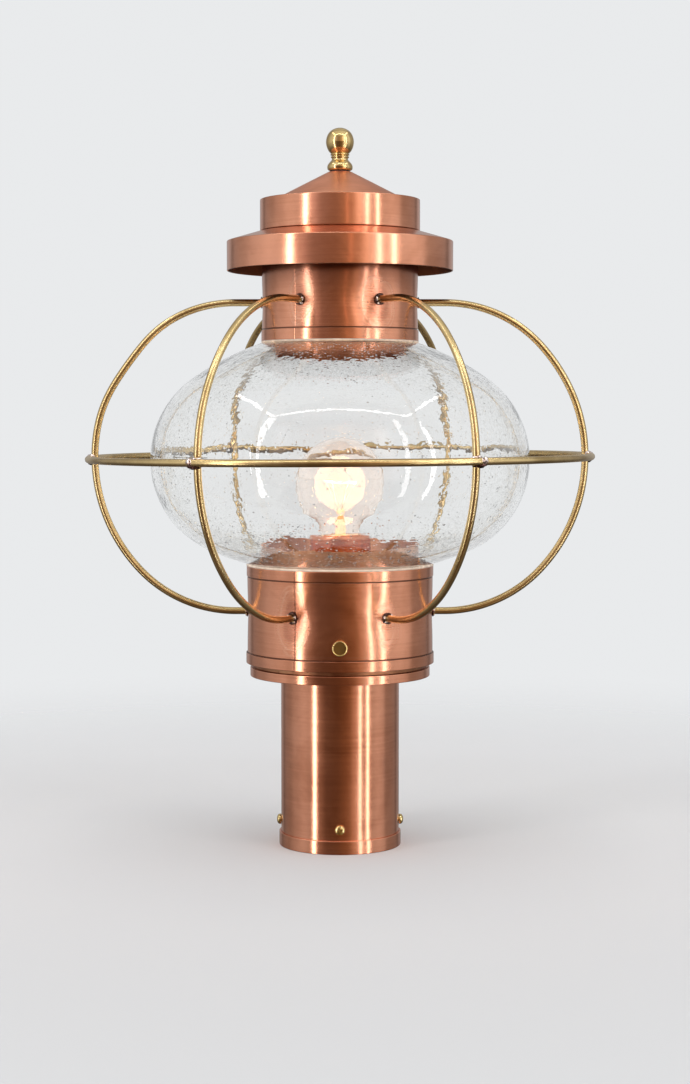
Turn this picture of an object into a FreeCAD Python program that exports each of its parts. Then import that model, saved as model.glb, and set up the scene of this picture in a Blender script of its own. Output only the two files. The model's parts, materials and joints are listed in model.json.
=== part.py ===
import FreeCAD, Part
import math
import os
import re

import Sketcher

# Onion post lantern in copper, brass and seeded glass.
# Frame: origin at the centre of the foot band's lower face, +Z up, the thumb screw on the -Y side.
# All sizes are millimetres. Heights are measured up from the foot, radii out from the upright axis.

SIZES = {
    # Stock: sheet copper, its folds, laps and solder, and the gaps left between pieces
    "copper_sheet": 0.8,
    "folded_edge": 0.4,
    "lap_wall": 0.3,
    "solder_gap": 0.05,
    "slip_gap": 0.4,
    "seat_gap": 0.3,
    "cut_overrun": 5.0,
    # Fitter tube, which slips over a three inch post, and the band round its foot
    "tube_radius": 39.7,
    "tube_wall": 1.15,
    "foot_band_height": 9.0,
    "foot_band_wall": 1.3,
    # Set screws that bite the post
    "set_screw_height": 16.3,
    "set_screw_radius": 1.75,
    "set_screw_head_radius": 3.45,
    "set_screw_head_height": 2.5,
    "set_screw_edge": 0.7,
    "set_screw_standoff": 0.5,
    # Base pan and the cup that the drum slips over
    "pan_top": 120.5,
    "pan_brim": 2.0,
    "pan_rim_height": 6.0,
    "cup_play": 3.1,
    "cup_height": 32.3,
    # Hollow lamp nipple, the flange on the pan that holds it, its nuts and its bushing
    "nipple_radius": 5.1,
    "nipple_bore": 3.4,
    "flange_radius": 16.0,
    "flange_plate": 1.8,
    "flange_hub_radius": 8.2,
    "flange_hub_height": 6.5,
    "flange_hub_edge": 0.8,
    "nut_circumradius": 8.1,
    "nut_height": 4.4,
    "nipple_tail": 2.0,
    "bushing_bore": 2.6,
    "bushing_length": 6.0,
    # Lamp socket: plate, copper cover, porcelain body, brass shell and contact
    "socket_rise": 34.5,
    "socket_height": 53.3,
    "socket_cover_wall": 0.7,
    "socket_mouth_play": 1.2,
    "porcelain_wall": 6.3,
    "porcelain_floor": 4.4,
    "porcelain_web": 2.4,
    "shell_inner_radius": 13.6,
    "shell_wall": 0.3,
    "shell_height": 24.0,
    "contact_radius": 4.5,
    "contact_height": 1.7,
    # Lamp: pear bulb with a screw base
    "bulb_contact_gap": 0.15,
    "bulb_length": 108.0,
    "bulb_radius": 29.6,
    "bulb_neck_swell": 0.2,
    "bulb_fillet_radius": 12.0,
    "bulb_wall": 0.7,
    "bulb_thread_play": 0.5,
    "bulb_base_wall": 0.35,
    "bulb_base_height": 22.0,
    "bulb_button_radius": 4.8,
    "bulb_button_height": 1.6,
    "bulb_insulator_height": 3.4,
    "stem_radius": 3.2,
    "stem_flare_height": 6.0,
    "lead_rise": 17.5,
    "lead_radius": 0.45,
    "lead_spread": 1.6,
    "filament_rise": 0.6,
    "filament_ring_radius": 10.6,
    "filament_radius": 0.6,
    # Drum: sleeve, bead, top band, guide ring and shelf
    "drum_radius": 62.2,
    "drum_lift": 2.8,
    "drum_height": 65.5,
    "drum_bead_wall": 0.8,
    "drum_bead_height": 6.9,
    "drum_band_height": 7.1,
    "drum_band_lip": 2.4,
    "guide_ring_height": 5.0,
    "shelf_reach": 2.5,
    # Thumb screw and the boss that it turns in
    "thumb_screw_rise": 15.8,
    "thumb_screw_radius": 2.1,
    "thumb_head_radius": 5.15,
    "thumb_head_height": 3.6,
    "thumb_head_edge": 0.8,
    "thumb_head_standoff": 0.6,
    "boss_radius": 5.5,
    # Globe: one blown shell with a neck at each end
    "globe_radius": 126.6,
    "globe_rise": 70.2,
    "globe_side_radius": 66.0,
    "globe_crown_rise": 86.0,
    "globe_foot_drop": 78.0,
    "globe_wall": 3.0,
    "lower_neck_play": 5.7,
    "lower_neck_depth": 9.7,
    "upper_neck_play": 5.3,
    "upper_neck_depth": 12.8,
    # Rings that seat the globe inside the drum and the collar
    "lower_seat_height": 23.8,
    "upper_seat_height": 21.4,
    # Collar, with its band and vent holes
    "collar_radius": 52.0,
    "collar_rise": 79.0,
    "collar_show": 46.5,
    "collar_band_height": 7.1,
    "vent_hole_radius": 4.0,
    "vent_hole_rise": 9.5,
    # Guard: six bent ribs and one ring of brass rod
    "rod_radius": 2.38,
    "guard_lift": 1.6,
    "guard_gap": 37.4,
    "rib_rise": 103.0,
    "rib_stub": 7.8,
    "ring_standoff": 3.2,
    "solder_bead": 0.9,
    "solder_blob_radius": 3.7,
    # Hood over the collar
    "hood_reach": 23.3,
    "hood_flange": 19.5,
    "hood_rise": 9.2,
    # Vent tube, bridge strap and the rod that the finial screws on
    "vent_tube_inset": 8.0,
    "vent_tube_drop": 5.2,
    "tube_vent_radius": 3.5,
    "bridge_rise": 8.3,
    "bridge_width": 14.0,
    "bridge_thick": 1.6,
    "stud_radius": 3.17,
    "stud_tail": 4.0,
    "stud_rise": 12.0,
    "stud_nut_circumradius": 6.4,
    "stud_nut_height": 3.6,
    # Cap: skirt with a flat shoulder, and the cone on it
    "cap_reach": 9.2,
    "cap_gap": 7.7,
    "cap_height": 19.7,
    "cap_shoulder": 9.7,
    "cone_rise": 18.6,
    "cone_tip_land": 0.4,
    # Finial: turned brass, with a seal under it
    "seal_inset": 0.6,
    "seal_height": 0.7,
    "finial_height": 29.0,
    "finial_foot_radius": 7.2,
    "finial_flare_radius": 8.2,
    "finial_flare_rise": 2.2,
    "finial_flare_land": 1.4,
    "finial_neck_radius": 5.4,
    "finial_neck_rise": 8.0,
    "finial_bead_radius": 6.1,
    "finial_ball_radius": 9.25,
    "finial_bore_rise": 13.6,
}

# Places and widths that follow from the sizes, each as a formula of sizes and of the places named here
PLACES = {
    "tube_inner": "tube_radius - tube_wall",
    "pan_underside": "pan_top - copper_sheet",
    "cup_radius": "drum_radius - copper_sheet - cup_play",
    "cup_inner": "cup_radius - copper_sheet",
    "cup_top": "pan_top + cup_height",
    "pan_radius": "cup_radius + pan_brim",
    "nipple_hole": "nipple_radius + solder_gap",
    "nipple_top": "socket_plate_top + nipple_tail",
    "socket_floor": "pan_top + socket_rise",
    "socket_top": "socket_floor + socket_height",
    "socket_plate_top": "socket_floor + copper_sheet",
    "shell_outer": "shell_inner_radius + shell_wall",
    "socket_cover_radius": "shell_outer + porcelain_wall",
    "socket_mouth_radius": "shell_inner_radius + socket_mouth_play",
    "porcelain_radius": "socket_cover_radius - socket_cover_wall - solder_gap",
    "porcelain_bottom": "socket_plate_top + solder_gap",
    "porcelain_well": "porcelain_bottom + porcelain_floor + porcelain_web",
    "porcelain_top": "socket_top - socket_cover_wall - solder_gap",
    "contact_top": "porcelain_well + contact_height",
    "bulb_bottom": "contact_top + bulb_contact_gap",
    "bulb_top": "bulb_bottom + bulb_length",
    "bulb_base_radius": "shell_inner_radius - bulb_thread_play",
    "bulb_neck_radius": "bulb_base_radius + bulb_neck_swell",
    "bulb_base_bottom": "bulb_bottom + bulb_button_height + bulb_insulator_height",
    "bulb_base_top": "bulb_base_bottom + bulb_base_height",
    "filament_height": "bulb_top - bulb_radius + filament_rise",
    "stem_top": "filament_height - lead_rise",
    "drum_inner": "drum_radius - copper_sheet",
    "drum_bottom": "pan_top + drum_lift",
    "drum_top": "drum_bottom + drum_height",
    "band_outer": "drum_radius + lap_wall",
    "shelf_inner_radius": "cup_inner - shelf_reach",
    "thumb_screw_height": "drum_bottom + thumb_screw_rise",
    "globe_mid_height": "drum_top + globe_rise",
    "globe_lower_neck_radius": "drum_radius - lower_neck_play",
    "globe_lower_neck_end": "drum_top - lower_neck_depth",
    "globe_upper_neck_radius": "collar_radius - upper_neck_play",
    "globe_upper_neck_end": "collar_bottom + upper_neck_depth",
    "lower_seat_floor": "globe_lower_neck_end - seat_gap - copper_sheet",
    "lower_seat_radius": "globe_lower_neck_radius - globe_wall - 2 * seat_gap",
    "upper_seat_top": "globe_upper_neck_end + seat_gap + copper_sheet",
    "upper_seat_radius": "globe_upper_neck_radius - globe_wall - 2 * seat_gap",
    "collar_inner": "collar_radius - copper_sheet",
    "collar_bottom": "globe_mid_height + collar_rise",
    "guard_mid_height": "globe_mid_height + guard_lift",
    "rib_low": "guard_mid_height - rib_rise",
    "rib_high": "guard_mid_height + rib_rise",
    "rib_stub_radius": "drum_radius + rib_stub",
    "rib_reach_radius": "globe_radius + guard_gap",
    "ring_radius": "rib_reach_radius + ring_standoff",
    "hood_radius": "collar_radius + hood_reach",
    "hood_bottom": "collar_bottom + collar_show",
    "hood_top": "hood_bottom + hood_flange",
    "hood_crown": "hood_top + hood_rise",
    "hood_slope": "hood_rise / (hood_radius - vent_tube_radius)",
    "vent_hole_height": "hood_bottom + vent_hole_rise",
    "vent_tube_radius": "collar_radius - vent_tube_inset",
    "vent_tube_top": "cap_top - copper_sheet - seat_gap",
    "cap_radius": "vent_tube_radius + cap_reach",
    "cap_bottom": "hood_top + cap_gap",
    "cap_top": "cap_bottom + cap_height",
    "bridge_height": "cap_bottom + bridge_rise",
    "cone_base_radius": "cap_radius - cap_shoulder",
    "cone_tip_radius": "finial_foot_radius + cone_tip_land",
    "cone_tip_height": "cap_top + cone_rise",
    "cone_run_in": "copper_sheet * (cone_base_radius - cone_tip_radius) / cone_rise",
    "stud_hole": "stud_radius + slip_gap",
    "stud_top": "cone_tip_height + stud_rise",
    "seal_radius": "finial_foot_radius - seal_inset",
    "finial_foot": "cone_tip_height + seal_height + 2 * solder_gap",
    "finial_top": "cone_tip_height + finial_height",
}

RIB_COUNT = 6
SET_SCREW_COUNT = 4
COLLAR_VENT_COUNT = 12
TUBE_VENT_COUNT = 12
HEX_SIDES = 6
FILAMENT_TURN = 300.0
QUARTER = 90.0
FULL_TURN = 360.0

# Shares that set how an outline swells between two named sizes
RIB_SHOULDER_SHARE = 0.936
CONE_LAND_SHARE = 0.5
BEAD_FOOT_SHARE = 1 / 3
COVE_RISE_SHARE = 1 / 3
COVE_WIDTH_SHARE = 1 / 4
FLARE_SWELL_SHARE = 1 / 5
BUTTON_TIP_SHARE = 1 / 2

document = FreeCAD.newDocument("OnionPostLantern")
sheet = document.addObject("Spreadsheet::Sheet", "Sizes")
for row, (alias, number) in enumerate(SIZES.items(), start=1):
    sheet.set(f"A{row}", alias)
    sheet.set(f"B{row}", str(number))
    sheet.setAlias(f"B{row}", alias)
document.recompute()

nodes = {}


def in_sheet(formula):
    """Write a formula in the sheet's own cells, with each worked-out place written out in full."""
    def in_cells(word):
        if word[0] in PLACES:
            return f"({in_sheet(PLACES[word[0]])})"
        return f"Sizes.{word[0]}" if word[0] in SIZES else word[0]
    return re.sub(r"[a-z_]+", in_cells, formula)


def value(formula):
    """Work a formula out from the sheet as it stands."""
    result = sheet.evalExpression(in_sheet(formula))
    return float(result)


def bind(feature, **formulas):
    """Tie the named properties of a feature to formulas."""
    for key, formula in formulas.items():
        feature.setExpression(key, in_sheet(formula))


def keep(feature, label):
    """Name a finished piece, which is written out under that name."""
    feature.Label = label
    nodes[label] = feature
    return feature


def sketch_on(body, name, plane_role):
    """A sketch on one of the body's own planes."""
    plane = next(item for item in body.Origin.OriginFeatures if item.Role == plane_role)
    sketch = body.newObject("Sketcher::SketchObject", name)
    sketch.AttachmentSupport = (plane, [""])
    sketch.MapMode = "FlatFace"
    return sketch


def pin_point(sketch, item, end, across, up):
    """Hold one point of a sketch at a distance across and up from its origin."""
    for kind, formula, axis in (("DistanceX", across, -2), ("DistanceY", up, -1)):
        if formula == "0":
            sketch.addConstraint(Sketcher.Constraint("PointOnObject", item, end, axis))
            continue
        held = Sketcher.Constraint(kind, -1, 1, item, end, value(formula))
        index = sketch.addConstraint(held)
        sketch.setExpression(f"Constraints[{index}]", in_sheet(formula))


def turned(label, outline):
    """A piece turned about its own upright axis from a closed outline of radius and height formulas."""
    body = document.addObject("PartDesign::Body", label)
    sketch = sketch_on(body, f"{label}_outline", "XZ_Plane")
    corners = [FreeCAD.Vector(value(radius), value(height), 0) for radius, height in outline]
    for start, corner in enumerate(corners):
        following = corners[(start + 1) % len(corners)]
        sketch.addGeometry(Part.LineSegment(corner, following), False)
    for start in range(len(corners)):
        following = (start + 1) % len(corners)
        sketch.addConstraint(Sketcher.Constraint("Coincident", start, 2, following, 1))
    for start, (radius, height) in enumerate(outline):
        pin_point(sketch, start, 1, radius, height)
    solid = body.newObject("PartDesign::Revolution", f"{label}_turned")
    solid.Profile = sketch
    solid.ReferenceAxis = (sketch, ["V_Axis"])
    solid.Angle = FULL_TURN
    body.Tip = solid
    return keep(body, label)


def ring_outline(inner, outer, bottom, top):
    """The four corners of a plain ring's section."""
    return [(inner, bottom), (outer, bottom), (outer, top), (inner, top)]


def bored_round(body, name, plane_role, height, radius, reach, count, flipped=False):
    """Cut a radial hole through a turned wall, and repeat it evenly round the axis."""
    sketch = sketch_on(body, f"{name}_outline", plane_role)
    centre = FreeCAD.Vector(0, value(height), 0)
    sketch.addGeometry(Part.Circle(centre, FreeCAD.Vector(0, 0, 1), value(radius)), False)
    pin_point(sketch, 0, 3, "0", height)
    index = sketch.addConstraint(Sketcher.Constraint("Radius", 0, value(radius)))
    sketch.setExpression(f"Constraints[{index}]", in_sheet(radius))
    before = body.Tip
    document.recompute()
    pocket = body.newObject("PartDesign::Pocket", name)
    pocket.Profile = sketch
    pocket.Reversed = flipped
    bind(pocket, Length=f"{reach} + cut_overrun")
    body.Tip = pocket
    if count > 1:
        pattern = body.newObject("PartDesign::PolarPattern", f"{name}_round")
        pattern.Originals = [pocket]
        pattern.Axis = (sketch, ["V_Axis"])
        pattern.Angle = FULL_TURN
        pattern.Occurrences = count
        body.Tip = pattern
    document.recompute()
    if body.Tip.Shape.Volume >= before.Shape.Volume:
        raise RuntimeError(f"{name} cuts nothing")
    return body


def face_outward(body, azimuth, height):
    """Turn a piece's own axis to point outward at an azimuth, at a height on the main axis."""
    angle = math.radians(azimuth)
    outward = FreeCAD.Vector(math.cos(angle), math.sin(angle), 0)
    turn = FreeCAD.Rotation(FreeCAD.Vector(0, 0, 1), outward)
    body.Placement = FreeCAD.Placement(FreeCAD.Vector(0, 0, value(height)), turn)
    body.setExpression("Placement.Base.z", in_sheet(height))


def lifted(kind, name, height, **formulas):
    """A plain solid that stands on the main axis at a height."""
    solid = document.addObject(kind, name)
    bind(solid, **formulas)
    solid.setExpression("Placement.Base.z", in_sheet(height))
    return solid


def cut(name, base, tool):
    """One solid less another."""
    result = document.addObject("Part::Cut", name)
    result.Base = base
    result.Tool = tool
    return result


def hex_nut(name, height, circumradius, thickness, bore):
    """A six sided nut on the main axis."""
    prism = lifted("Part::Prism", f"{name}_prism", height, Circumradius=circumradius, Height=thickness)
    prism.Polygon = HEX_SIDES
    hole = lifted("Part::Cylinder", f"{name}_bore", f"{height} - cut_overrun",
                  Radius=bore, Height=f"{thickness} + 2 * cut_overrun")
    return cut(name, prism, hole)


def shaped(label, solid, azimuth=0.0):
    """A piece whose solid is worked out in code, turned to an azimuth."""
    feature = document.addObject("Part::Feature", label)
    feature.Shape = solid
    feature.Placement = FreeCAD.Placement(FreeCAD.Vector(0, 0, 0), FreeCAD.Vector(0, 0, 1), azimuth)
    return keep(feature, label)


def spot(radius, height):
    """A point of an outline in the upright plane."""
    return FreeCAD.Vector(radius, 0, height)


def on_circle(centre, radius, angle):
    """The point of a circle in the upright plane at an angle in radians."""
    return spot(centre.x + radius * math.cos(angle), centre.z + radius * math.sin(angle))


def arc_edge(centre, radius, start, end):
    """An arc in the upright plane between two angles in radians."""
    middle = on_circle(centre, radius, (start + end) / 2)
    return Part.Arc(on_circle(centre, radius, start), middle, on_circle(centre, radius, end)).toShape()


def line_edge(start, end):
    """A straight edge."""
    return Part.LineSegment(start, end).toShape()


def spun(edges):
    """The solid that a closed run of edges sweeps about the upright axis."""
    face = Part.Face(Part.Wire(edges))
    return face.revolve(FreeCAD.Vector(0, 0, 0), FreeCAD.Vector(0, 0, 1), FULL_TURN)


def build_foot():
    """The fitter tube, its foot band and the four set screws."""
    tube = turned("post_tube", ring_outline("tube_inner", "tube_radius", "0", "pan_underside - solder_gap"))
    hole = "(set_screw_radius + solder_gap)"
    bored_round(tube, "set_screw_holes", "XZ_Plane", "set_screw_height", hole, "tube_radius", SET_SCREW_COUNT)
    inner = "(tube_radius + solder_gap)"
    outer = "(tube_radius + foot_band_wall)"
    turned("foot_band", [
        (inner, "0"),
        (f"{outer} - folded_edge", "0"),
        (outer, "folded_edge"),
        (outer, "foot_band_height - folded_edge"),
        (f"{outer} - folded_edge", "foot_band_height"),
        (inner, "foot_band_height"),
    ])
    under_head = "(tube_radius + set_screw_standoff)"
    head_top = f"({under_head} + set_screw_head_height)"
    for label, azimuth in (("right", 0.0), ("back", 90.0), ("left", 180.0), ("front", 270.0)):
        screw = turned(f"set_screw_{label}", [
            ("0", "tube_inner + solder_gap"),
            ("set_screw_radius", "tube_inner + solder_gap"),
            ("set_screw_radius", under_head),
            ("set_screw_head_radius", under_head),
            ("set_screw_head_radius", f"{head_top} - 2 * set_screw_edge"),
            ("set_screw_head_radius - set_screw_edge", f"{head_top} - set_screw_edge / 2"),
            ("set_screw_head_radius - 2 * set_screw_edge", head_top),
            ("0", head_top),
        ])
        face_outward(screw, azimuth, "set_screw_height")


def build_base():
    """The pan on top of the tube, the cup on the pan, and the nipple in its flange."""
    turned("base_pan", [
        ("nipple_hole", "pan_underside"),
        ("pan_radius - copper_sheet", "pan_underside"),
        ("pan_radius - copper_sheet", "pan_top - pan_rim_height"),
        ("pan_radius", "pan_top - pan_rim_height"),
        ("pan_radius", "pan_top - folded_edge"),
        ("pan_radius - folded_edge", "pan_top"),
        ("nipple_hole", "pan_top"),
    ])
    turned("base_cup", ring_outline("cup_inner", "cup_radius", "pan_top + solder_gap", "cup_top"))
    flange_bottom = "(pan_top + solder_gap)"
    plate_top = f"({flange_bottom} + flange_plate)"
    hub_top = f"({flange_bottom} + flange_hub_height)"
    turned("nipple_flange", [
        ("nipple_hole", flange_bottom),
        ("flange_radius", flange_bottom),
        ("flange_radius", f"{plate_top} - flange_hub_edge"),
        ("flange_radius - flange_hub_edge", plate_top),
        ("flange_hub_radius", plate_top),
        ("flange_hub_radius", f"{hub_top} - flange_hub_edge"),
        ("flange_hub_radius - flange_hub_edge", hub_top),
        ("nipple_hole", hub_top),
    ])
    turned("lamp_nipple", ring_outline("nipple_bore", "nipple_radius", "pan_underside", "nipple_top"))
    bushing_outer = "(nipple_bore - solder_gap)"
    turned("wire_bushing", ring_outline("bushing_bore", bushing_outer, "pan_underside",
                                        "pan_underside + bushing_length"))
    nut_size = ("nut_circumradius", "nut_height", "nipple_hole")
    keep(hex_nut("nipple_nut_solid", f"({hub_top} + solder_gap)", *nut_size), "nipple_nut")
    socket_nut = "(socket_floor - nut_height - solder_gap)"
    keep(hex_nut("socket_nut_solid", socket_nut, *nut_size), "socket_nut")


def build_socket():
    """The lamp socket on the nipple's upper end."""
    turned("socket_plate", ring_outline("nipple_hole", "porcelain_radius", "socket_floor",
                                        "socket_plate_top"))
    cover_inner = "(socket_cover_radius - socket_cover_wall)"
    turned("socket_cover", [
        (cover_inner, "socket_floor"),
        ("socket_cover_radius", "socket_floor"),
        ("socket_cover_radius", "socket_top - folded_edge"),
        ("socket_cover_radius - folded_edge", "socket_top"),
        ("socket_mouth_radius", "socket_top"),
        ("socket_mouth_radius", "socket_top - socket_cover_wall"),
        (cover_inner, "socket_top - socket_cover_wall"),
    ])
    well_radius = "(shell_outer + solder_gap)"
    nipple_recess = "(nipple_hole + copper_sheet)"
    porcelain_step = "(porcelain_bottom + porcelain_floor)"
    turned("socket_body", [
        (nipple_recess, "porcelain_bottom"),
        ("porcelain_radius", "porcelain_bottom"),
        ("porcelain_radius", "porcelain_top"),
        (well_radius, "porcelain_top"),
        (well_radius, "porcelain_well"),
        ("0", "porcelain_well"),
        ("0", porcelain_step),
        (nipple_recess, porcelain_step),
    ])
    shell_bottom = "(porcelain_well + solder_gap)"
    turned("socket_shell", ring_outline("shell_inner_radius", "shell_outer", shell_bottom,
                                        f"{shell_bottom} + shell_height"))
    turned("socket_contact", ring_outline("0", "contact_radius", shell_bottom,
                                          "contact_top - solder_gap"))


def bulb_envelope(inset):
    """The outline of the bulb's glass on its outer face, or inset by a wall, from neck to crown."""
    ball = value("bulb_radius") - inset
    neck = value("bulb_neck_radius") - inset
    fillet = value("bulb_fillet_radius") + inset
    ball_centre = spot(0, value("bulb_top - bulb_radius"))
    run = neck + fillet
    drop = math.sqrt((ball + fillet) ** 2 - run ** 2)
    fillet_centre = spot(run, ball_centre.z - drop)
    tangent = math.atan2(-drop, run)
    return [
        line_edge(spot(neck, value("bulb_base_top")), spot(neck, fillet_centre.z)),
        arc_edge(fillet_centre, fillet, math.pi, math.pi + tangent),
        arc_edge(ball_centre, ball, tangent, math.pi / 2),
    ]


def build_bulb():
    """The clear pear bulb: contact button, insulator, screw shell, glass, stem, leads and filament."""
    button_top = "(bulb_bottom + bulb_button_height)"
    turned("bulb_contact", [
        ("0", "bulb_bottom"),
        (f"bulb_button_radius * {BUTTON_TIP_SHARE}", "bulb_bottom"),
        ("bulb_button_radius", button_top),
        ("0", button_top),
    ])
    insulator_bottom = f"({button_top} + solder_gap)"
    turned("bulb_insulator", [
        ("0", insulator_bottom),
        ("bulb_button_radius + copper_sheet", insulator_bottom),
        ("bulb_base_radius - copper_sheet", "bulb_base_bottom - solder_gap"),
        ("0", "bulb_base_bottom - solder_gap"),
    ])
    turned("bulb_base", [
        ("0", "bulb_base_bottom"),
        ("bulb_base_radius - copper_sheet", "bulb_base_bottom"),
        ("bulb_base_radius", "bulb_base_bottom + copper_sheet"),
        ("bulb_base_radius", "bulb_base_top"),
        ("bulb_base_radius - bulb_base_wall", "bulb_base_top"),
        ("bulb_base_radius - bulb_base_wall", "bulb_base_bottom + 2 * copper_sheet"),
        ("0", "bulb_base_bottom + 2 * copper_sheet"),
    ])
    wall = value("bulb_wall")
    outer = bulb_envelope(0)
    inner = bulb_envelope(wall)
    crown = value("bulb_top")
    neck = value("bulb_neck_radius")
    base_top = value("bulb_base_top")
    ends = [
        line_edge(spot(0, crown - wall), spot(0, crown)),
        line_edge(spot(neck - wall, base_top), spot(neck, base_top)),
    ]
    shaped("bulb_glass", spun(Part.__sortEdges__(outer + inner + ends)))
    lower = "(bulb_base_top + seat_gap)"
    turned("bulb_stem", [
        ("0", lower),
        ("bulb_neck_radius - bulb_wall - seat_gap", lower),
        ("stem_radius", f"{lower} + stem_flare_height"),
        ("stem_radius", "stem_top - stem_radius"),
        ("0", "stem_top"),
    ])
    build_filament()


def build_filament():
    """An open ring of filament in the middle of the bulb, and the two leads that hold its ends."""
    ring = lifted("Part::Torus", "filament_torus", "filament_height",
                  Radius1="filament_ring_radius", Radius2="filament_radius")
    ring.Angle3 = FILAMENT_TURN
    gap_middle = math.radians((FULL_TURN - FILAMENT_TURN) / 2)
    turn = FreeCAD.Rotation(FreeCAD.Vector(0, 0, 1), QUARTER + math.degrees(gap_middle))
    ring.Placement = FreeCAD.Placement(FreeCAD.Vector(0, 0, value("filament_height")), turn)
    keep(ring, "bulb_filament")
    leads = []
    thickness = value("lead_radius")
    for side in (-1.0, 1.0):
        foot_height = value("stem_top - lead_spread + lead_radius + seat_gap")
        foot = FreeCAD.Vector(side * value("lead_spread"), 0, foot_height)
        across = side * math.sin(gap_middle) * value("filament_ring_radius")
        along = math.cos(gap_middle) * value("filament_ring_radius")
        top = FreeCAD.Vector(across, along, value("filament_height - filament_radius") - thickness)
        run = top - foot
        leads.append(Part.makeCylinder(thickness, run.Length, foot, run))
    shaped("bulb_leads", Part.makeCompound(leads))


def build_drum():
    """The drum that carries the globe and the guard, and the thumb screw that holds it on the cup."""
    sleeve = turned("drum_sleeve", ring_outline("drum_inner", "drum_radius", "drum_bottom",
                                                "drum_top - copper_sheet - solder_gap"))
    rib_hole = "(rod_radius + solder_gap)"
    bored_round(sleeve, "lower_rib_holes", "YZ_Plane", "rib_low", rib_hole, "drum_radius", RIB_COUNT)
    screw_hole = "(thumb_screw_radius + slip_gap / 2)"
    bored_round(sleeve, "thumb_screw_hole", "XZ_Plane", "thumb_screw_height", screw_hole,
                "drum_radius", 1, flipped=True)
    bead_outer = "(drum_radius + drum_bead_wall)"
    bead_inner = "(drum_radius + solder_gap)"
    turned("drum_bead", [
        (bead_inner, "drum_bottom"),
        (f"{bead_outer} - folded_edge", "drum_bottom"),
        (bead_outer, "drum_bottom + folded_edge"),
        (bead_outer, "drum_bottom + drum_bead_height - folded_edge"),
        (f"{bead_outer} - folded_edge", "drum_bottom + drum_bead_height"),
        (bead_inner, "drum_bottom + drum_bead_height"),
    ])
    band_bottom = "(drum_top - drum_band_height)"
    turned("drum_top_band", [
        (bead_inner, band_bottom),
        ("band_outer", band_bottom),
        ("band_outer", "drum_top"),
        ("band_outer - drum_band_lip", "drum_top"),
        ("band_outer - drum_band_lip", "drum_top - copper_sheet"),
        (bead_inner, "drum_top - copper_sheet"),
    ])
    guide_outer = "(drum_inner - solder_gap)"
    turned("drum_guide_ring", ring_outline("cup_radius + slip_gap", guide_outer, "drum_bottom",
                                           "drum_bottom + guide_ring_height"))
    shelf_bottom = "(cup_top + seat_gap)"
    turned("drum_shelf", ring_outline("shelf_inner_radius", guide_outer, shelf_bottom,
                                      f"{shelf_bottom} + copper_sheet"))
    boss = turned("thumb_screw_boss", ring_outline(screw_hole, "boss_radius", "cup_radius + slip_gap",
                                                   "drum_inner - seat_gap"))
    face_outward(boss, 3 * QUARTER, "thumb_screw_height")
    under_head = "(drum_radius + thumb_head_standoff)"
    head_top = f"({under_head} + thumb_head_height)"
    screw = turned("thumb_screw", [
        ("0", "cup_radius + seat_gap"),
        ("thumb_screw_radius", "cup_radius + seat_gap"),
        ("thumb_screw_radius", under_head),
        ("thumb_head_radius - thumb_head_edge", under_head),
        ("thumb_head_radius", f"{under_head} + thumb_head_edge"),
        ("thumb_head_radius", f"{head_top} - thumb_head_edge"),
        ("thumb_head_radius - thumb_head_edge", head_top),
        ("0", head_top),
    ])
    face_outward(screw, 3 * QUARTER, "thumb_screw_height")


def half_globe_outline(inset, rise, neck_size, end_size, way):
    """Half of the globe's curved outline, on its outer face or inset by a wall, from the widest place to a neck."""
    side = value("globe_side_radius")
    middle = value("globe_mid_height")
    side_centre = spot(value("globe_radius") - side, middle)
    reach = value(rise)
    sweep = (side_centre.x ** 2 + reach ** 2 - side ** 2) / (2 * (reach - side))
    centre = spot(0, middle + way * (reach - sweep))
    join = way * math.atan2(sweep - reach, side_centre.x)
    neck = value(neck_size) - inset
    edge_angle = way * math.acos(neck / (sweep - inset))
    corner = on_circle(centre, sweep - inset, edge_angle)
    return [
        arc_edge(side_centre, side - inset, 0, join),
        arc_edge(centre, sweep - inset, join, edge_angle),
        line_edge(corner, spot(neck, value(end_size))),
    ]


def build_globe():
    """The seeded glass globe, in two halves that meet at its widest place, and the rings that seat its necks."""
    wall = value("globe_wall")
    widest = spot(value("globe_radius"), value("globe_mid_height"))
    for name, rise, neck_size, end_size, way in (
        ("globe_bowl", "globe_foot_drop", "globe_lower_neck_radius", "globe_lower_neck_end", -1),
        ("globe_crown", "globe_crown_rise", "globe_upper_neck_radius", "globe_upper_neck_end", 1),
    ):
        neck = spot(value(neck_size), value(end_size))
        ends = [line_edge(corner - spot(wall, 0), corner) for corner in (neck, widest)]
        outer = half_globe_outline(0, rise, neck_size, end_size, way)
        inner = half_globe_outline(wall, rise, neck_size, end_size, way)
        shaped(name, spun(Part.__sortEdges__(outer + inner + ends)))
    lower_outer = "(drum_inner - solder_gap)"
    turned("globe_seat_lower", [
        ("lower_seat_radius - copper_sheet", "lower_seat_floor"),
        (lower_outer, "lower_seat_floor"),
        (lower_outer, "lower_seat_floor + copper_sheet"),
        ("lower_seat_radius", "lower_seat_floor + copper_sheet"),
        ("lower_seat_radius", "lower_seat_floor + lower_seat_height"),
        ("lower_seat_radius - copper_sheet", "lower_seat_floor + lower_seat_height"),
    ])
    upper_outer = "(collar_inner - solder_gap)"
    turned("globe_seat_upper", [
        ("upper_seat_radius - copper_sheet", "upper_seat_top - upper_seat_height"),
        ("upper_seat_radius", "upper_seat_top - upper_seat_height"),
        ("upper_seat_radius", "upper_seat_top - copper_sheet"),
        (upper_outer, "upper_seat_top - copper_sheet"),
        (upper_outer, "upper_seat_top"),
        ("upper_seat_radius - copper_sheet", "upper_seat_top"),
    ])


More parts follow.
